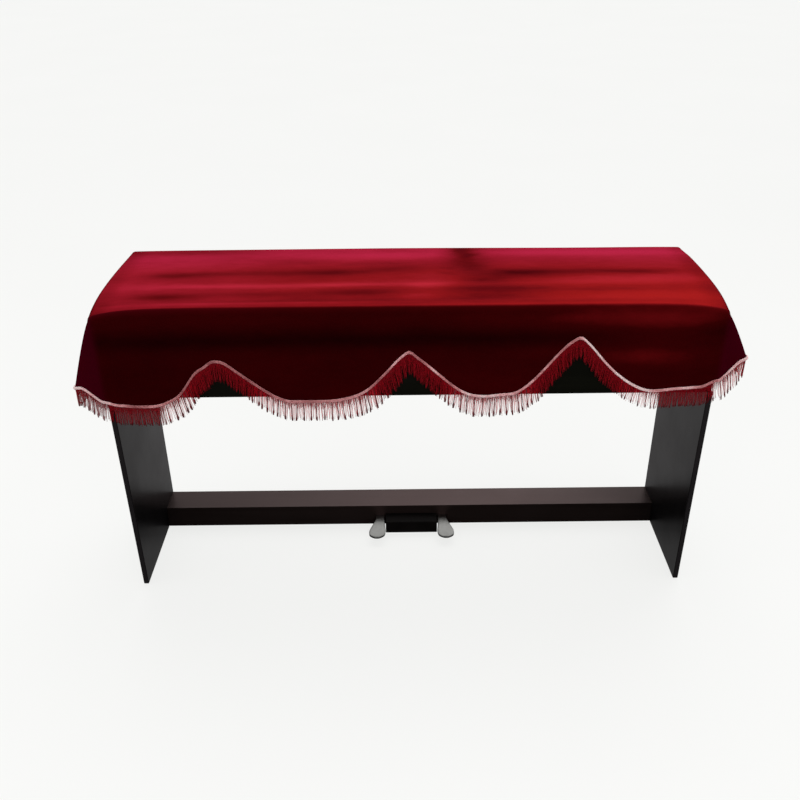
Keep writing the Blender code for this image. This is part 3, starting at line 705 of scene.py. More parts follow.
def fringe_material():
    """Silky yarn: full dark locks, and loose yarns so fine that light comes through them."""
    nodes = new_material("fringe_yarn_silk")
    # The tone holds each yarn's own tone, with painted shade on yarns hanging before the dark case
    # or a leg; it also sets how much light comes through.
    tone_and_painted_light = nodes.value("tone_and_painted_light")
    fine = nodes.noise(700.0, 3.0, 0.6)
    colour = nodes.ramp(nodes.math("ADD", tone_and_painted_light, nodes.uneven(fine, -0.07, 0.07)),
                        (0.0, 0.13, 0.06, 0.064), (0.16, 0.18, 0.02, 0.025),
                        (0.3, 0.26, 0.004, 0.01), (0.6, 0.88, 0.012, 0.028),
                        (1.0, 0.95, 0.09, 0.12))
    tip = nodes.spread(nodes.value("along"), 0.8, 1.0, 0.0, 0.45)
    nodes.put(Base_Color=nodes.mix(tip, colour, (0.06, 0.01, 0.013)),
              Alpha=nodes.spread(tone_and_painted_light, 0.22, 0.36, 0.92, 0.52),
              Roughness=nodes.uneven(fine, 0.42, 0.62),
              Specular_IOR_Level=0.05, Sheen_Weight=0.06, Sheen_Roughness=0.35,
              Sheen_Tint=(1.0, 0.12, 0.18))
    nodes.relief((nodes.twists(320.0, 0.6, (0.6, 0.6, 1.0)), 0.5, 0.0005))
    return nodes.owner


def board_material(name, dark, pale, stretch, tint, gloss, edge=None):
    """Satin black foiled board: faint grain and a little dust, with painted light on the faces that
    face -Y when an edge colour is given.
    """
    nodes = new_material(name)
    grain = nodes.noise(26.0, 5.0, 0.6, stretch)
    dust = nodes.noise(5.0, 4.0, 0.6)
    speck = nodes.noise(900.0, 2.0, 0.7)
    base = nodes.ramp(grain, (0.3, *dark), (0.7, *pale))
    base = nodes.mix(nodes.spread(dust, 0.45, 0.75, 0.0, 0.12), base, (0.018, 0.016, 0.016))
    # Painted light: faces turned to -Y are lightened to the edge colour.
    if edge is not None:
        _, facing_y, _ = nodes.parts(nodes.add("NewGeometry", "True Normal"))
        base = nodes.mix(nodes.spread(facing_y, -0.9, -0.6, 1.0, 0.0), base, edge)
    nodes.put(Base_Color=base, Roughness=nodes.uneven(dust, 0.3, 0.4), Specular_Tint=tint,
              Specular_IOR_Level=gloss)
    nodes.relief((grain, 0.08, 0.0005), (speck, 0.1, 0.0002))
    return nodes


def plastic_material():
    """Dull black plastic of the block between the pedals."""
    nodes = new_material("box_plastic")
    fine = nodes.noise(1100.0, 3.0, 0.6)
    cloud = nodes.noise(30.0, 3.0, 0.5)
    nodes.put(Base_Color=nodes.ramp(cloud, (0.3, 0.0024, 0.0018, 0.0017),
                                    (0.7, 0.0044, 0.0034, 0.0032)),
              Roughness=nodes.uneven(cloud, 0.7, 0.82), Specular_IOR_Level=0.05)
    nodes.relief((fine, 0.25, 0.0002))
    return nodes.owner


def pedal_material():
    """Satin plated metal, brushed along the pedal, duller where a foot rubs it."""
    nodes = new_material("pedal_plate")
    brushed = nodes.noise(420.0, 3.0, 0.6, (1.0, 0.05, 1.0))
    worn = nodes.noise(55.0, 3.0, 0.5)
    nodes.put(Base_Color=nodes.ramp(worn, (0.3, 0.105, 0.105, 0.101), (0.7, 0.165, 0.165, 0.16)),
              Roughness=nodes.uneven(worn, 0.36, 0.48), Metallic=1.0)
    nodes.relief((brushed, 0.18, 0.0003), (worn, 0.1, 0.0006))
    return nodes.owner


# ---- the cover ----
# Painted light and shade on the top, brighter or darker in patches as its folds catch the light:
# middle x, half length, depth, half width, change
TOP_PAINTED_LIGHT_AND_SHADE = (
    (-0.52, 0.2, 0.35, 0.03, -0.17),
    (-0.54, 0.08, 0.187, 0.02, -0.24),
    (-0.43, 0.09, 0.197, 0.013, -0.13),
    (-0.235, 0.14, 0.199, 0.02, -0.2),
    (-0.155, 0.06, 0.201, 0.018, -0.13),
    (-0.03, 0.07, 0.218, 0.024, -0.22),
    (-0.4, 0.22, 0.123, 0.018, 0.24),
    (-0.11, 0.13, 0.128, 0.017, 0.21),
    (-0.54, 0.095, 0.066, 0.018, -0.28),
    (-0.335, 0.085, 0.073, 0.011, -0.16),
    (-0.22, 0.12, 0.055, 0.022, -0.11),
    (-0.105, 0.095, 0.078, 0.015, -0.26),
    (-0.18, 0.42, 0.038, 0.01, -0.13),
    (-0.28, 0.35, 0.026, 0.006, 0.12),
    (-0.45, 0.25, 0.008, 0.01, -0.12),
    (-0.055, 0.16, 0.3, 0.024, 0.24),
    (-0.26, 0.07, 0.268, 0.015, -0.08),
    (0.13, 0.042, 0.32, 0.044, -0.3),
    (0.185, 0.07, 0.33, 0.05, -0.1),
    (0.146, 0.056, 0.232, 0.06, -0.25),
    (0.132, 0.034, 0.35, 0.014, -0.1),
    (0.19, 0.06, 0.15, 0.03, -0.2),
    (0.45, 0.29, 0.318, 0.024, 0.24),
    (0.258, 0.074, 0.188, 0.025, -0.3),
    (0.4, 0.13, 0.192, 0.018, -0.24),
    (0.565, 0.085, 0.192, 0.012, -0.14),
    (0.5, 0.2, 0.137, 0.026, 0.25),
    (0.045, 0.055, 0.118, 0.028, 0.29),
    (0.03, 0.06, 0.06, 0.02, 0.14),
    (0.195, 0.15, 0.09, 0.022, -0.28),
    (0.17, 0.13, 0.052, 0.02, -0.2),
    (0.48, 0.13, 0.082, 0.009, -0.12),
    (0.53, 0.15, 0.048, 0.018, 0.14),
    (0.24, 0.34, 0.023, 0.01, -0.13),
)
# The top's painted light level, where it is lit from above
TOP_PAINTED_LIGHT_LEVEL = 0.7
EDGE_PAINTED_SHADE = -0.12  # painted shade along the two side edges
EDGE_PAINTED_SHADE_RUN = 0.045
CREASE_PAINTED_SHADE = 0.08  # painted shade in a crease: how much darker it is
# Painted shade of all four drops, which the light from above and behind hardly reaches
DROP_PAINTED_SHADE_LEVEL = 0.19
# Painted light and shade in bands on the front drop: middle x, half length, height, half width,
# change
FRONT_PAINTED_LIGHT_AND_SHADE = (
    (0.0, 2.0, 0.738, 0.018, 0.04),
    (0.52, 0.25, 0.73, 0.03, 0.24),
    (-0.05, 2.0, 0.688, 0.024, -0.13),
    (0.54, 0.2, 0.684, 0.018, 0.14),
    (0.51, 0.12, 0.643, 0.024, 0.2),
    (0.3, 0.1, 0.655, 0.016, 0.08),
    (0.25, 0.5, 0.58, 0.06, 0.035),
    (-0.6, 0.12, 0.63, 0.04, -0.035),
    (0.69, 0.05, 0.715, 0.025, -0.1),
    (-0.712, 0.024, 0.64, 0.085, 0.09),
    (0.712, 0.022, 0.655, 0.06, 0.06),
)
EAR_X = (0.674, 0.69)  # where the front drop's painted shade turns plum on its ears
# Warmth tints the velvet's painted highlights warm or rosy and its painted shade plum; the rosy
# tint along the back is a painted sheen highlight.
PLAIN_WARMTH = 0.5  # neither rosy, at 0, nor warm, at 1
SIDE_WARMTH = 0.35  # of the side and back drops
# How far warmth changes on the top, between which depths and between which xs
ROSY_BACK = 0.45
ROSY_BACK_DEPTH = (0.2, 0.36)
ROSY_LEFT = 0.15
ROSY_LEFT_X = (-0.15, -0.65)
WARM_RIGHT = 0.45
WARM_RIGHT_X = (-0.1, 0.4)
WARM_RIGHT_DEPTH = (0.2, 0.06)
# The share of the way round the shoulder over which the painted light changes from the top's to a
# drop's painted shade
FRONT_TURN = 0.55
FRONT_TURN_LEAD = 0.09  # how much before the shoulder it begins, at the middle
FRONT_TURN_LEAN = 0.12  # and how much later for each metre to the right
SIDE_TURN = 1.15  # how fast it goes at the sides and the back
SIDE_TURN_LAG = 0.1


def patches(level, rows, x, place):
    """A painted light level with soft patches of painted light and shade on it: middle x, half
    length, place, half width, change.
    """
    for patch_x, half_length, patch_place, half_width, change in rows:
        level += change * bump(x - patch_x, half_length) * bump(place - patch_place, half_width)
    return level


# Painted light and shade on the top, with painted shade in its creases and along its side edges.
def top_painted_light(x, depth):
    level = patches(TOP_PAINTED_LIGHT_LEVEL, TOP_PAINTED_LIGHT_AND_SHADE, x, depth)
    for crease in TOP_CREASES:
        level -= CREASE_PAINTED_SHADE * crease_share(x, depth, crease)
    edge = smooth(1.0 - (top_half_width(side_of(x), depth) - abs(x)) / EDGE_PAINTED_SHADE_RUN)
    return level + EDGE_PAINTED_SHADE * edge


def top_warmth(x, depth):
    """Tint of the painted highlights: rosy along the back and the left, warm at the front right."""
    back = eased(depth, *ROSY_BACK_DEPTH)
    right_front = eased(x, *WARM_RIGHT_X) * eased(depth, *WARM_RIGHT_DEPTH)
    left = eased(x, *ROSY_LEFT_X)
    return PLAIN_WARMTH - ROSY_BACK * back - ROSY_LEFT * left + WARM_RIGHT * right_front


def drop_looks(point, turned, top_x, on_front):
    """A drop's painted light level, its warmth and how far the painted light has changed from the
    top's, at a point.
    """
    if not on_front:
        return DROP_PAINTED_SHADE_LEVEL, SIDE_WARMTH, smooth(turned * SIDE_TURN - SIDE_TURN_LAG)
    change = smooth((turned + FRONT_TURN_LEAD - FRONT_TURN_LEAN * top_x) / FRONT_TURN)
    warmth = PLAIN_WARMTH * (1.0 - eased(abs(point[0]), *EAR_X))
    return patches(DROP_PAINTED_SHADE_LEVEL, FRONT_PAINTED_LIGHT_AND_SHADE, point[0], point[2]), warmth, change


def build_cover(layout, material):
    """The sheet: a fine grid over the top, fine columns down all four sides, then its thickness."""
    xs, depths, drops = layout
    vertices = []
    looks = {"painted_light": [], "warmth": []}

    def add(point, painted_light, warmth):
        vertices.append(point)
        looks["painted_light"].append(painted_light)
        looks["warmth"].append(warmth)
        return len(vertices) - 1

    def add_top(x, depth):
        point = (x, at_depth(depth), top_height(x, depth))
        return add(point, top_painted_light(x, depth), top_warmth(x, depth))

    grid = [[add_top(widened(x, depth), depth) for x in xs] for depth in depths]
    faces = [face for line, after in zip(grid, grid[1:]) for face in quads(line, after)]
    edge = iter(grid[0] + [row[-1] for row in grid[1:-1]]
                + grid[-1][::-1] + [row[0] for row in grid[-2:0:-1]])
    lines = []
    for name, columns in drops.items():
        for top_x, top_depth, points in columns:
            line = [next(edge)]
            top_looks = top_painted_light(top_x, top_depth), top_warmth(top_x, top_depth)
            for k, point in enumerate(points, start=1):
                turned = min(k / SHOULDER_STEPS, 1.0)
                painted_light, warmth, change = drop_looks(point, turned, top_x, name == "front")
                line.append(add(point, blend(top_looks[0], painted_light, change),
                                blend(top_looks[1], warmth, turned)))
            lines.append(line)
    for line, after in zip(lines, lines[1:] + lines[:1]):
        faces += quads(line, after)

    cover = add_object("cover_velvet", vertices, faces, material, looks)
    facing_out(cover)
    if cover.data.polygons[0].normal.z < 0.0:
        cover.data.flip_normals()
    thicken = cover.modifiers.new("thickness", "SOLIDIFY")
    thicken.thickness = CLOTH_THICKNESS
    thicken.offset = -1.0
    thicken.use_even_offset = False
    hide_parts("cover")
    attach(cover, "console")
    return cover


# ---- braid and fringe ----
class HemLine:
    """The trimmed hem as one line: left side, front, right side, with ways to walk along it."""

    def __init__(self, drops):
        trimmed = [points for name in ("left", "front", "right") for _, _, points in drops[name]]
        low = [Vector(points[-1]) for points in trimmed]
        self.low = low
        self.runs = [(b - a).normalized() for a, b in zip(low[:1] + low, low[1:] + low[-1:])]
        self.ups = [(Vector(points[-2]) - Vector(points[-1])).normalized() for points in trimmed]
        self.distance = [0.0]
        for a, b in zip(low, low[1:]):
            self.distance.append(self.distance[-1] + (b - a).length)
        self.length = self.distance[-1]

    def at(self, distance, line):
        """A line's value at a walked distance along the hem's edge, kept within its ends."""
        distance = min(max(distance, 0.0), self.length)
        i = stretch_at(self.distance, distance)
        share = (distance - self.distance[i]) / (self.distance[i + 1] - self.distance[i])
        return line[i].lerp(line[i + 1], share)

    def frame_at(self, distance):
        """Point on the hem's edge, its run, the cloth's up direction and its outward direction."""
        run = self.at(distance, self.runs).normalized()
        up = self.at(distance, self.ups).normalized()
        return self.at(distance, self.low), run, up, run.cross(up).normalized()


BRAID_PERIOD = 0.0105  # length of one full crossing of the three strands
BRAID_SWING = 0.0025  # how far a strand swings to each side
BRAID_WEAVE = 0.0006  # how far it rises over and dips under
BRAID_STRAND = 0.00125  # a strand's half width
BRAID_GAP = 0.0004
BRAID_MIDDLE = 0.0012  # the braid's middle line above the hem's edge
BRAID_STEPS = 12  # points of a strand in one period
BRAID_SIDES = 5
BRAID_STRANDS = 3
BRAID_WIDTHS = (0.92, 1.06)  # a strand's uneven width, as a share of its own
BRAID_TONES = 0.1  # how much paler or darker its points are
BRAID_SEED = 11
# Painted highlights: how pale the braid is painted along the hem, where it catches the light: x,
# level
BRAID_PAINTED_HIGHLIGHTS = (
    (-0.74, 1.0), (-0.7, 0.84), (-0.65, 0.58), (-0.61, 0.16), (-0.572, 0.52), (-0.5, 0.26),
    (-0.4, 0.18), (-0.31, 0.3), (-0.23, 0.46), (-0.15, 0.62), (-0.07, 0.34), (-0.03, 0.6),
    (0.02, 0.24), (0.05, 0.8), (0.085, 0.34), (0.13, 0.98), (0.2, 0.8), (0.26, 0.6),
    (0.355, 0.32), (0.385, 0.98), (0.43, 0.8), (0.495, 1.1), (0.57, 0.66), (0.605, 0.92),
    (0.655, 0.42), (0.735, 1.0),
)


def build_braid(hem, material):
    """A flat plait of three strands over the hem's edge."""
    tubes = Tubes("tone_and_painted_light")
    rng = random.Random(BRAID_SEED)
    count = int(hem.length / BRAID_PERIOD * BRAID_STEPS)
    for strand in range(BRAID_STRANDS):
        path = []
        painted_highlights_and_tones = []
        radii = []
        for k in range(count + 1):
            distance = hem.length * k / count
            point, run, up, out = hem.frame_at(distance)
            turn = math.tau * distance / BRAID_PERIOD + math.tau * strand / BRAID_STRANDS
            across = BRAID_MIDDLE + BRAID_SWING * math.sin(turn)
            lift = BRAID_GAP + BRAID_STRAND + BRAID_WEAVE * (1.0 + math.sin(2.0 * turn))
            path.append(point + up * across + out * lift)
            # Each point's tone is the braid's painted highlight there, a little paler or darker at
            # random.
            painted_highlights_and_tones.append(read_table(BRAID_PAINTED_HIGHLIGHTS, point.x) + rng.uniform(-BRAID_TONES, BRAID_TONES))
            radii.append(BRAID_STRAND * rng.uniform(*BRAID_WIDTHS))
        tubes.add(path, radii, BRAID_SIDES, tone_and_painted_light=painted_highlights_and_tones)
    braid = tubes.make("braid_trim", material)
    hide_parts("braid")
    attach(braid, "console")
    return braid


FRINGE_SEED = 23
YARN_PITCH = 0.0019
YARN_RADIUS = 0.0008
YARN_TAPER = (1.08, 0.78)  # a yarn's radius at its root and its tip, as shares of that
# How far the fringe hangs below the hem: x, length
FRINGE_LENGTHS = (
    (-0.72, 0.05), (-0.65, 0.052), (-0.5, 0.05), (-0.4, 0.052), (-0.27, 0.051), (0.0, 0.055),
    (0.12, 0.055), (0.21, 0.054), (0.37, 0.051), (0.5, 0.046), (0.6, 0.049), (0.72, 0.049),
)
LEAN_REACH = 0.055  # how much hem on each side sets a yarn's lean
LEAN_RISING = 0.28  # share of square to the hem where it rises to the right
LEAN_FALLING = 0.15  # and where it falls
LEAN_TURN = 0.25  # the hem's climb at which each of those is full
RISING_LENGTH = 0.08  # how much longer the fringe is where the hem rises
FULL_RISE = 0.6  # the hem's climb at which that is full
YARN_STEPS = 8
YARN_SIDES = 4
YARN_IN = 0.0007  # how far inside the cloth's outer face the yarns hang
YARN_TOP = 0.0008  # their roots' height above the hem's edge
YARN_JITTER = (0.25, 0.75)  # where in its own stretch of hem a yarn hangs
YARN_LEAN = 0.022  # how unevenly yarns lean along the hem
YARN_FORWARD = 0.014  # and out of it
YARN_CURL = (0.0003, 0.0011)
YARN_TURNS = (0.6, 1.5)  # how many turns of curl a yarn has
CURL_OUT = 0.5  # share of the curl that also goes out of the hem
LOCK_YARNS = (5, 9)  # yarns gathered towards a lock, whose middle one has a knot
LOCK_LENGTH = (0.96, 1.02)  # a lock's length as a share of the fringe's, and a yarn's
YARN_LENGTH = (0.82, 1.02)
LOCK_TONES = (0.02, 0.22)  # with light behind it, and before something dark
SHADED_LOCK_TONES = (0.28, 0.35)
# how pale the loose yarns are where there is light behind them
YARN_TONES = (0.46, 0.52, 0.56, 0.62, 0.9)
YARN_SHADE = 0.36  # and their painted shade where they hang before the dark case or a leg
SHADED_Z = (0.565, 0.6)  # where the hem is this high they hang before the case
SHADED_X = (0.54, 0.57)  # and this far out before the legs
EAR_SHADE_X = (0.655, 0.68)  # and further out beside them
TONE_STEP = 0.04  # how much paler or darker than that a yarn is
LOCK_PULL = (0.85, 0.25)  # how far its two neighbours and the rest lean in to it
SHADED_PULL = 0.4  # how much of that is left before something dark
LOCK_RADII = (1.3, 1.5, 1.6, 1.6, 1.6, 1.6, 1.8, 3.4, 2.2)  # times a yarn's, down to the knot
THIN_X = (0.42, 0.48)  # the loose yarns are thinner beyond this, left and right
THIN_YARN = 0.66
THIN_LOCK = 0.62  # and the locks on the right
LEG_PAINTED_SHADE_TONE = 0.31  # the painted shade of the even, fuller yarns before a leg
LEG_PAINTED_SHADE_SHARE = 0.8
LEG_YARN = 1.12
FRAY_SHARE = (0.18, 0.48)  # length of the short yarns that fill the fringe's head
FRAY_STEPS = 3
FRAY_TAPER = (1.35, 0.65)
FRAY_TONES = (0.26, 0.37)
HEADER_RADIUS = 0.0011  # of the head that the yarns hang from
HEADER_DROP = 0.003
HEADER_SIDES = 5
HEADER_TONE = 0.45


def hanging_drop(hem, spot):
    """Down, turned part of the way towards square with the hem, as a share of the length."""
    run = (hem.at(spot + LEAN_REACH, hem.low) - hem.at(spot - LEAN_REACH, hem.low)).normalized()
    down = Vector((0.0, 0.0, -1.0))
    square = (down - run * down.dot(run)).normalized()
    lean = blend(LEAN_FALLING, LEAN_RISING, smooth(0.5 + 0.5 * run.z / LEAN_TURN))
    longer = 1.0 + RISING_LENGTH * smooth(run.z / FULL_RISE)
    return down.lerp(square, lean).normalized() * longer


def shades(root):
    """Two shares for a yarn: how much it hangs before something dark, and before a leg alone. Its
    painted shade follows them.
    """
    reach = abs(root.x)
    inside = 1.0 - eased(root.x, *EAR_SHADE_X)
    before_case_or_leg = max(eased(root.z, *SHADED_Z), eased(reach, *SHADED_X)) * inside
    return before_case_or_leg, eased(reach, *SHADED_X) * (1.0 - eased(reach, *EAR_SHADE_X))


def yarn_path(rng, point, falling, run, out, length, pull, shares):
    """A yarn's points: it hangs from its root, leans in to its lock and curls a little."""
    lean = rng.gauss(0.0, YARN_LEAN) + pull / length
    forward = rng.gauss(0.0, YARN_FORWARD)
    curl = rng.uniform(*YARN_CURL)
    phase = rng.uniform(0.0, math.tau)
    turns = rng.uniform(*YARN_TURNS)
    level = Vector((run.x, run.y, 0.0)).normalized()
    path = []
    for share in shares:
        sway = curl * share * math.sin(phase + turns * math.tau * share)
        path.append(
            point
            + falling * (length * share)
            + level * (lean * length * share * share + sway)
            + out * (forward * length * share + CURL_OUT * sway)
        )
    return path


def build_fringe(hem, material):
    """Thin twisted yarns on a narrow header, with a fuller knotted lock every few yarns."""
    tubes = Tubes("tone_and_painted_light", "along")
    rng = random.Random(FRINGE_SEED)
    header = []
    count = int(hem.length / YARN_PITCH)
    for k in range(count + 1):
        point, run, up, out = hem.frame_at(hem.length * k / count)
        header.append(point - up * HEADER_DROP - out * YARN_IN)
    tubes.add(header, [HEADER_RADIUS] * len(header), HEADER_SIDES,
              tone_and_painted_light=[HEADER_TONE] * len(header), along=[0.0] * len(header))
    lock_at = rng.randint(*LOCK_YARNS) // 2
    next_lock = lock_at + rng.randint(*LOCK_YARNS)
    yarn_shares = [i / YARN_STEPS for i in range(YARN_STEPS + 1)]
    fray_shares = [i / FRAY_STEPS for i in range(FRAY_STEPS + 1)]
    for k in range(count):
        if k - lock_at > next_lock - k:
            lock_at, next_lock = next_lock, next_lock + rng.randint(*LOCK_YARNS)
        spot = hem.length * (k + rng.uniform(*YARN_JITTER)) / count
        point, run, up, out = hem.frame_at(spot)
        root = point + up * YARN_TOP - out * YARN_IN
        drop = hanging_drop(hem, spot)
        is_lock = k == lock_at
        shade, on_leg = shades(root)
        thin = blend(1.0, THIN_YARN, eased(abs(root.x), *THIN_X) * (1.0 - shade))
        full = read_table(FRINGE_LENGTHS, root.x)
        length = full * rng.uniform(*(LOCK_LENGTH if is_lock else YARN_LENGTH))
        length = blend(length, 0.5 * (length + full), on_leg)
        pull = (lock_at - k) * YARN_PITCH * LOCK_PULL[abs(lock_at - k) > 1]
        pull *= blend(1.0, SHADED_PULL, shade)
        path = yarn_path(rng, root, drop, run, out, length, pull, yarn_shares)
        # Before the dark case or a leg, a yarn's tone takes painted shade.
        if is_lock:
            tone_and_painted_light = blend(rng.uniform(*LOCK_TONES), rng.uniform(*SHADED_LOCK_TONES), shade)
            thin_lock = blend(1.0, THIN_LOCK, eased(root.x, *THIN_X))
            radii = [YARN_RADIUS * thin_lock * factor for factor in LOCK_RADII]
        else:
            tone_and_painted_light = blend(rng.choice(YARN_TONES), YARN_SHADE, shade)
            tone_and_painted_light += rng.uniform(-TONE_STEP, TONE_STEP)
            radii = [YARN_RADIUS * thin * blend(*YARN_TAPER, share) for share in yarn_shares]
        # More painted shade before a leg.
        tone_and_painted_light = blend(tone_and_painted_light, LEG_PAINTED_SHADE_TONE, LEG_PAINTED_SHADE_SHARE * on_leg)
        radii = [blend(radius, YARN_RADIUS * LEG_YARN, on_leg) for radius in radii]
        tubes.add(path, radii, YARN_SIDES, tone_and_painted_light=[tone_and_painted_light] * len(path), along=yarn_shares)
        fray = full * rng.uniform(*FRAY_SHARE)
        fray_root = root + run * (0.5 * YARN_PITCH)
        path = yarn_path(rng, fray_root, drop, run, out, fray, 0.0, fray_shares)
        radii = [YARN_RADIUS * thin * blend(*FRAY_TAPER, share) for share in fray_shares]
        tubes.add(path, radii, YARN_SIDES,
                  tone_and_painted_light=[rng.uniform(*FRAY_TONES)] * len(path), along=[0.0] * len(path))
    fringe = tubes.make("fringe_yarn", material)
    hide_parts("fringe")
    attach(fringe, "console")
    return fringe


# ---- console and pedals ----
PEDAL_MIDDLE_X = 0.0047
PEDAL_HALF_SPACING = 0.0852
PEDAL_THICKNESS = 0.006
PEDAL_ROOT_Z = 0.026
PEDAL_PIVOT_DEPTH = 0.023
PEDAL_STEPS = 30
PEDAL_SIDES = 28
PEDAL_SQUARENESS = 0.32  # 1 is an oval section, 0 a square one
PEDAL_TOE_START = 0.075  # the reach at which the toe starts to round off
PEDAL_TOE_HALF_WIDTH = 0.0185
PEDAL_TOE_POWER = 2.6  # 2 rounds the toe off like a circle, more squares it
PEDAL_TIP = (0.16, 0.35)  # shares of its width and of its thickness left at its tip
PEDAL_SPACING_POWER = 0.9  # its rings lie closer towards the toe
PEDAL_SHARP_ANGLE = 50.0
# reach in front of the rail, sideways lean (outwards), half width, height of the middle above root
PEDAL_SECTIONS = (
    (-PEDAL_PIVOT_DEPTH, 0.0, 0.0115, 0.0),
    (0.005, 0.0, 0.0115, 0.0),
    (0.021, 0.001, 0.013, -0.0005),
    (0.041, 0.004, 0.017, -0.002),
    (0.063, 0.007, 0.022, -0.004),
    (0.08, 0.008, 0.02, -0.006),
    (0.09, 0.008, 0.0125, -0.007),
)


def signed_power(value, power):
    return math.copysign(abs(value) ** power, value)


def build_pedal(side, body, material):
    """A cast pedal with rounded edges and a rounded toe that lies a little lower."""
    knots = [row[0] for row in PEDAL_SECTIONS]
    toe = knots[-1]
    middle_x = PEDAL_MIDDLE_X + side * PEDAL_HALF_SPACING
    vertices = []
    for step in range(PEDAL_STEPS + 1):
        spacing = math.sin(0.5 * math.pi * step / PEDAL_STEPS) ** PEDAL_SPACING_POWER
        reach = blend(knots[0], toe, spacing)
        _, lean, half_width, rise = through(knots, PEDAL_SECTIONS, reach)
        closing = max(0.0, (reach - PEDAL_TOE_START) / (toe - PEDAL_TOE_START))
        round_end = math.sqrt(max(1.0 - closing ** PEDAL_TOE_POWER, 0.0))
        if reach > PEDAL_TOE_START:
            half_width = max(half_width, PEDAL_TOE_HALF_WIDTH * round_end)
        half_width *= max(round_end, PEDAL_TIP[0])
        half_height = 0.5 * PEDAL_THICKNESS * max(round_end ** 0.5, PEDAL_TIP[1])
        for k in range(PEDAL_SIDES):
            turn = math.tau * k / PEDAL_SIDES
            across = half_width * signed_power(math.cos(turn), PEDAL_SQUARENESS)
            up = half_height * signed_power(math.sin(turn), PEDAL_SQUARENESS)
            vertices.append((middle_x + side * lean + across, RAIL_FRONT_Y - reach,
                             PEDAL_ROOT_Z + rise + up))
    faces = tube_faces(0, PEDAL_STEPS + 1, PEDAL_SIDES)
    pedal = add_object(body + "_plate", vertices, faces, material)
    facing_out(pedal)
    pedal.data.set_sharp_from_angle(angle=math.radians(PEDAL_SHARP_ANGLE))
    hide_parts(body)
    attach(pedal, body)
    return pedal


# How glossy a leg is along a slant through its depth and height: place, level. It sinks in a band
# where rail and legs shade each other: a painted shade in the leg's reflection.
LEG_GLOSS_WITH_PAINTED_SHADE = ((0.17, 0.13), (0.26, 0.035), (0.35, 0.008), (0.42, 0.02), (0.49, 0.17), (0.57, 0.34),
             (0.82, 0.43))
LEG_SLANT = 0.75  # how much of a leg's depth counts, beside its height
LEG_SLANT_REACH = (-0.135, 0.465)
LEG_GLOSS_PAINTED_SHADE_BY_Y = (-0.18, 0.15, 0.72, 1.1)  # from y, to y, and the gloss's factors there: a painted shade darkening the front
RAIL_GLOSS_PAINTED_SHADE_LEFT = (-0.65, 0.1, 0.185, 0.33)  # from x, to x, and the gloss there; less gloss at the ends is a painted shade near the legs
RAIL_GLOSS_PAINTED_SHADE_RIGHT = (0.62, 0.3, 0.15, 0.31)


# The leg's gloss, with painted shade in a band and towards the front.
def leg_gloss_with_painted_shade(nodes):
    _, y, z = nodes.parts(nodes.place)
    slant = nodes.math("MULTIPLY_ADD", y, LEG_SLANT, z)
    band = nodes.ramp(nodes.spread(slant, *LEG_SLANT_REACH, 0.0, 1.0), *LEG_GLOSS_WITH_PAINTED_SHADE)
    return nodes.math("MULTIPLY", band, nodes.spread(y, *LEG_GLOSS_PAINTED_SHADE_BY_Y))


def rail_gloss_with_painted_shade(nodes):
    """The rail's gloss, less towards its two ends: a painted shade near the legs."""
    x, _, _ = nodes.parts(nodes.place)
    return nodes.math("MINIMUM", nodes.spread(x, *RAIL_GLOSS_PAINTED_SHADE_LEFT),
                      nodes.spread(x, *RAIL_GLOSS_PAINTED_SHADE_RIGHT))


def dress_console():
    """The case, legs, rail and box keep their own shapes and get their finishes."""
    case = board_material("case_foil", (0.003, 0.003, 0.0018), (0.006, 0.006, 0.0036),
                          (0.06, 1.0, 1.0), (1.0, 1.0, 1.0), 0.12)
    # The legs' last colour is painted light on their faces turned to -Y.
    upright = board_material("leg_foil", (0.0035, 0.003, 0.0032), (0.0065, 0.0056, 0.006),
                             (1.0, 1.0, 0.06), (1.0, 0.86, 0.9), 0.2, (0.017, 0.015, 0.016))
    upright.put(Specular_IOR_Level=leg_gloss_with_painted_shade(upright))
    lying = board_material("rail_foil", (0.0064, 0.0044, 0.004), (0.0112, 0.0078, 0.007),
                           (0.06, 1.0, 1.0), (1.0, 0.54, 0.52), 0.28)
    lying.put(Specular_IOR_Level=rail_gloss_with_painted_shade(lying))
    finishes = {
        "case": case.owner,
        "leg_left": upright.owner,
        "leg_right": upright.owner,
        "pedal_rail": lying.owner,
        "pedal_box": plastic_material(),
    }
    for name, material in finishes.items():
        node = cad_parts[name]
        node.data.materials.clear()
        node.data.materials.append(material)


# ---- studio ----
FOCAL_LENGTH = 40.15  # on a sensor 36 mm wide
SENSOR = 36.0
CAMERA_TURN = (-0.0654, 29.5133, -0.6611)  # yaw, downward pitch and roll, in degrees
CAMERA_BEFORE_CASE = 1.7472
CAMERA_X = -0.0202
CAMERA_Z = 1.5233
FLOOR_HALF = 40.0
LIGHT_TARGET = Vector((0.0, 0.0, 0.6))
KEY_ANGLE = 50.0  # how broad the soft sun looks, in degrees


def build_camera():
    data = bpy.data.cameras.new("camera")
    data.lens = FOCAL_LENGTH
    data.sensor_width = SENSOR
    camera = add_to_scene("camera", data)
    yaw, pitch, roll = (math.radians(angle) for angle in CAMERA_TURN)
    ahead = Vector((
        math.sin(yaw) * math.cos(pitch),
        math.cos(yaw) * math.cos(pitch),
        -math.sin(pitch),
    ))
    level = Vector((math.cos(yaw), -math.sin(yaw), 0.0))
    upright = level.cross(ahead)
    right = level * math.cos(roll) + upright * math.sin(roll)
    up = upright * math.cos(roll) - level * math.sin(roll)
    matrix = Matrix((right, up, -ahead)).transposed().to_4x4()
    matrix.translation = Vector((CAMERA_X, CASE_FRONT_Y - CAMERA_BEFORE_CASE, CAMERA_Z))
    camera.matrix_world = matrix
    bpy.context.scene.camera = camera


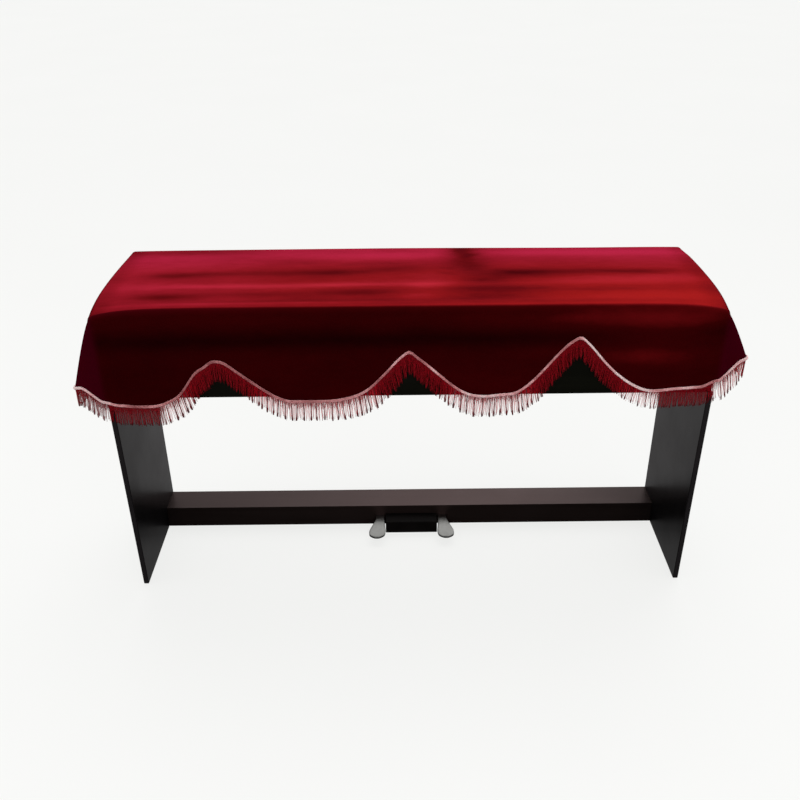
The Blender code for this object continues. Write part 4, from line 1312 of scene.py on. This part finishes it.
def add_light(name, kind, energy, place, **settings):
    data = bpy.data.lights.new(name, kind)
    data.energy = energy
    for key, value in settings.items():
        setattr(data, key, value)
    light = add_to_scene(name, data)
    light.location = place
    light.rotation_euler = (LIGHT_TARGET - Vector(place)).to_track_quat("-Z", "Y").to_euler()


def build_studio():
    """A pale floor and surround, a soft key from above and behind, fills from front and sides."""
    nodes = new_material("studio_floor_paint")
    cloud = nodes.noise(1.2, 2.0, 0.5)
    nodes.put(Base_Color=nodes.ramp(cloud, (0.3, 0.135, 0.135, 0.134), (0.7, 0.141, 0.141, 0.14)),
              Roughness=0.9, Specular_IOR_Level=0.0, Emission_Color=(0.995, 1.0, 0.985),
              Emission_Strength=0.785)
    corners = [(x * FLOOR_HALF, y * FLOOR_HALF, 0.0)
               for x, y in ((-1.0, -1.0), (1.0, -1.0), (1.0, 1.0), (-1.0, 1.0))]
    floor = add_object("studio_floor", corners, [(0, 1, 2, 3)], nodes.owner)
    floor.visible_diffuse = False
    floor.visible_glossy = False

    world = bpy.data.worlds.new("studio")
    sky = Nodes(world, "Background", "Generated")
    _, y, z = sky.parts(sky.place)
    sky.put(Color=(1.0, 0.995, 0.99),
            Strength=sky.math("ADD", sky.spread(z, -0.15, 0.6, 0.02, 0.6),
                              sky.spread(y, 0.1, 0.6, 0.0, 0.3)))
    bpy.context.scene.world = world

    add_light("key", "SUN", 1.5, (0.3, 1.4, 3.0), angle=math.radians(KEY_ANGLE))
    add_light("fill", "AREA", 42.0, (0.2, -3.2, 1.5), shape="RECTANGLE", size=3.0, size_y=1.6)
    for name, x in (("side_left", -3.0), ("side_right", 3.0)):
        add_light(name, "AREA", 16.0, (x, -0.4, 1.0), shape="RECTANGLE", size=1.6, size_y=1.6)
    bpy.context.scene.view_settings.view_transform = "Standard"


def main():
    build_camera()
    layout = lay_out_cover()
    cover = build_cover(layout, velvet_material())
    hem = HemLine(layout[2])
    braid = build_braid(hem, braid_material())
    fringe = build_fringe(hem, fringe_material())
    plated = pedal_material()
    build_pedal(-1, "pedal_left", plated)
    build_pedal(1, "pedal_right", plated)
    dress_console()
    build_studio()


main()
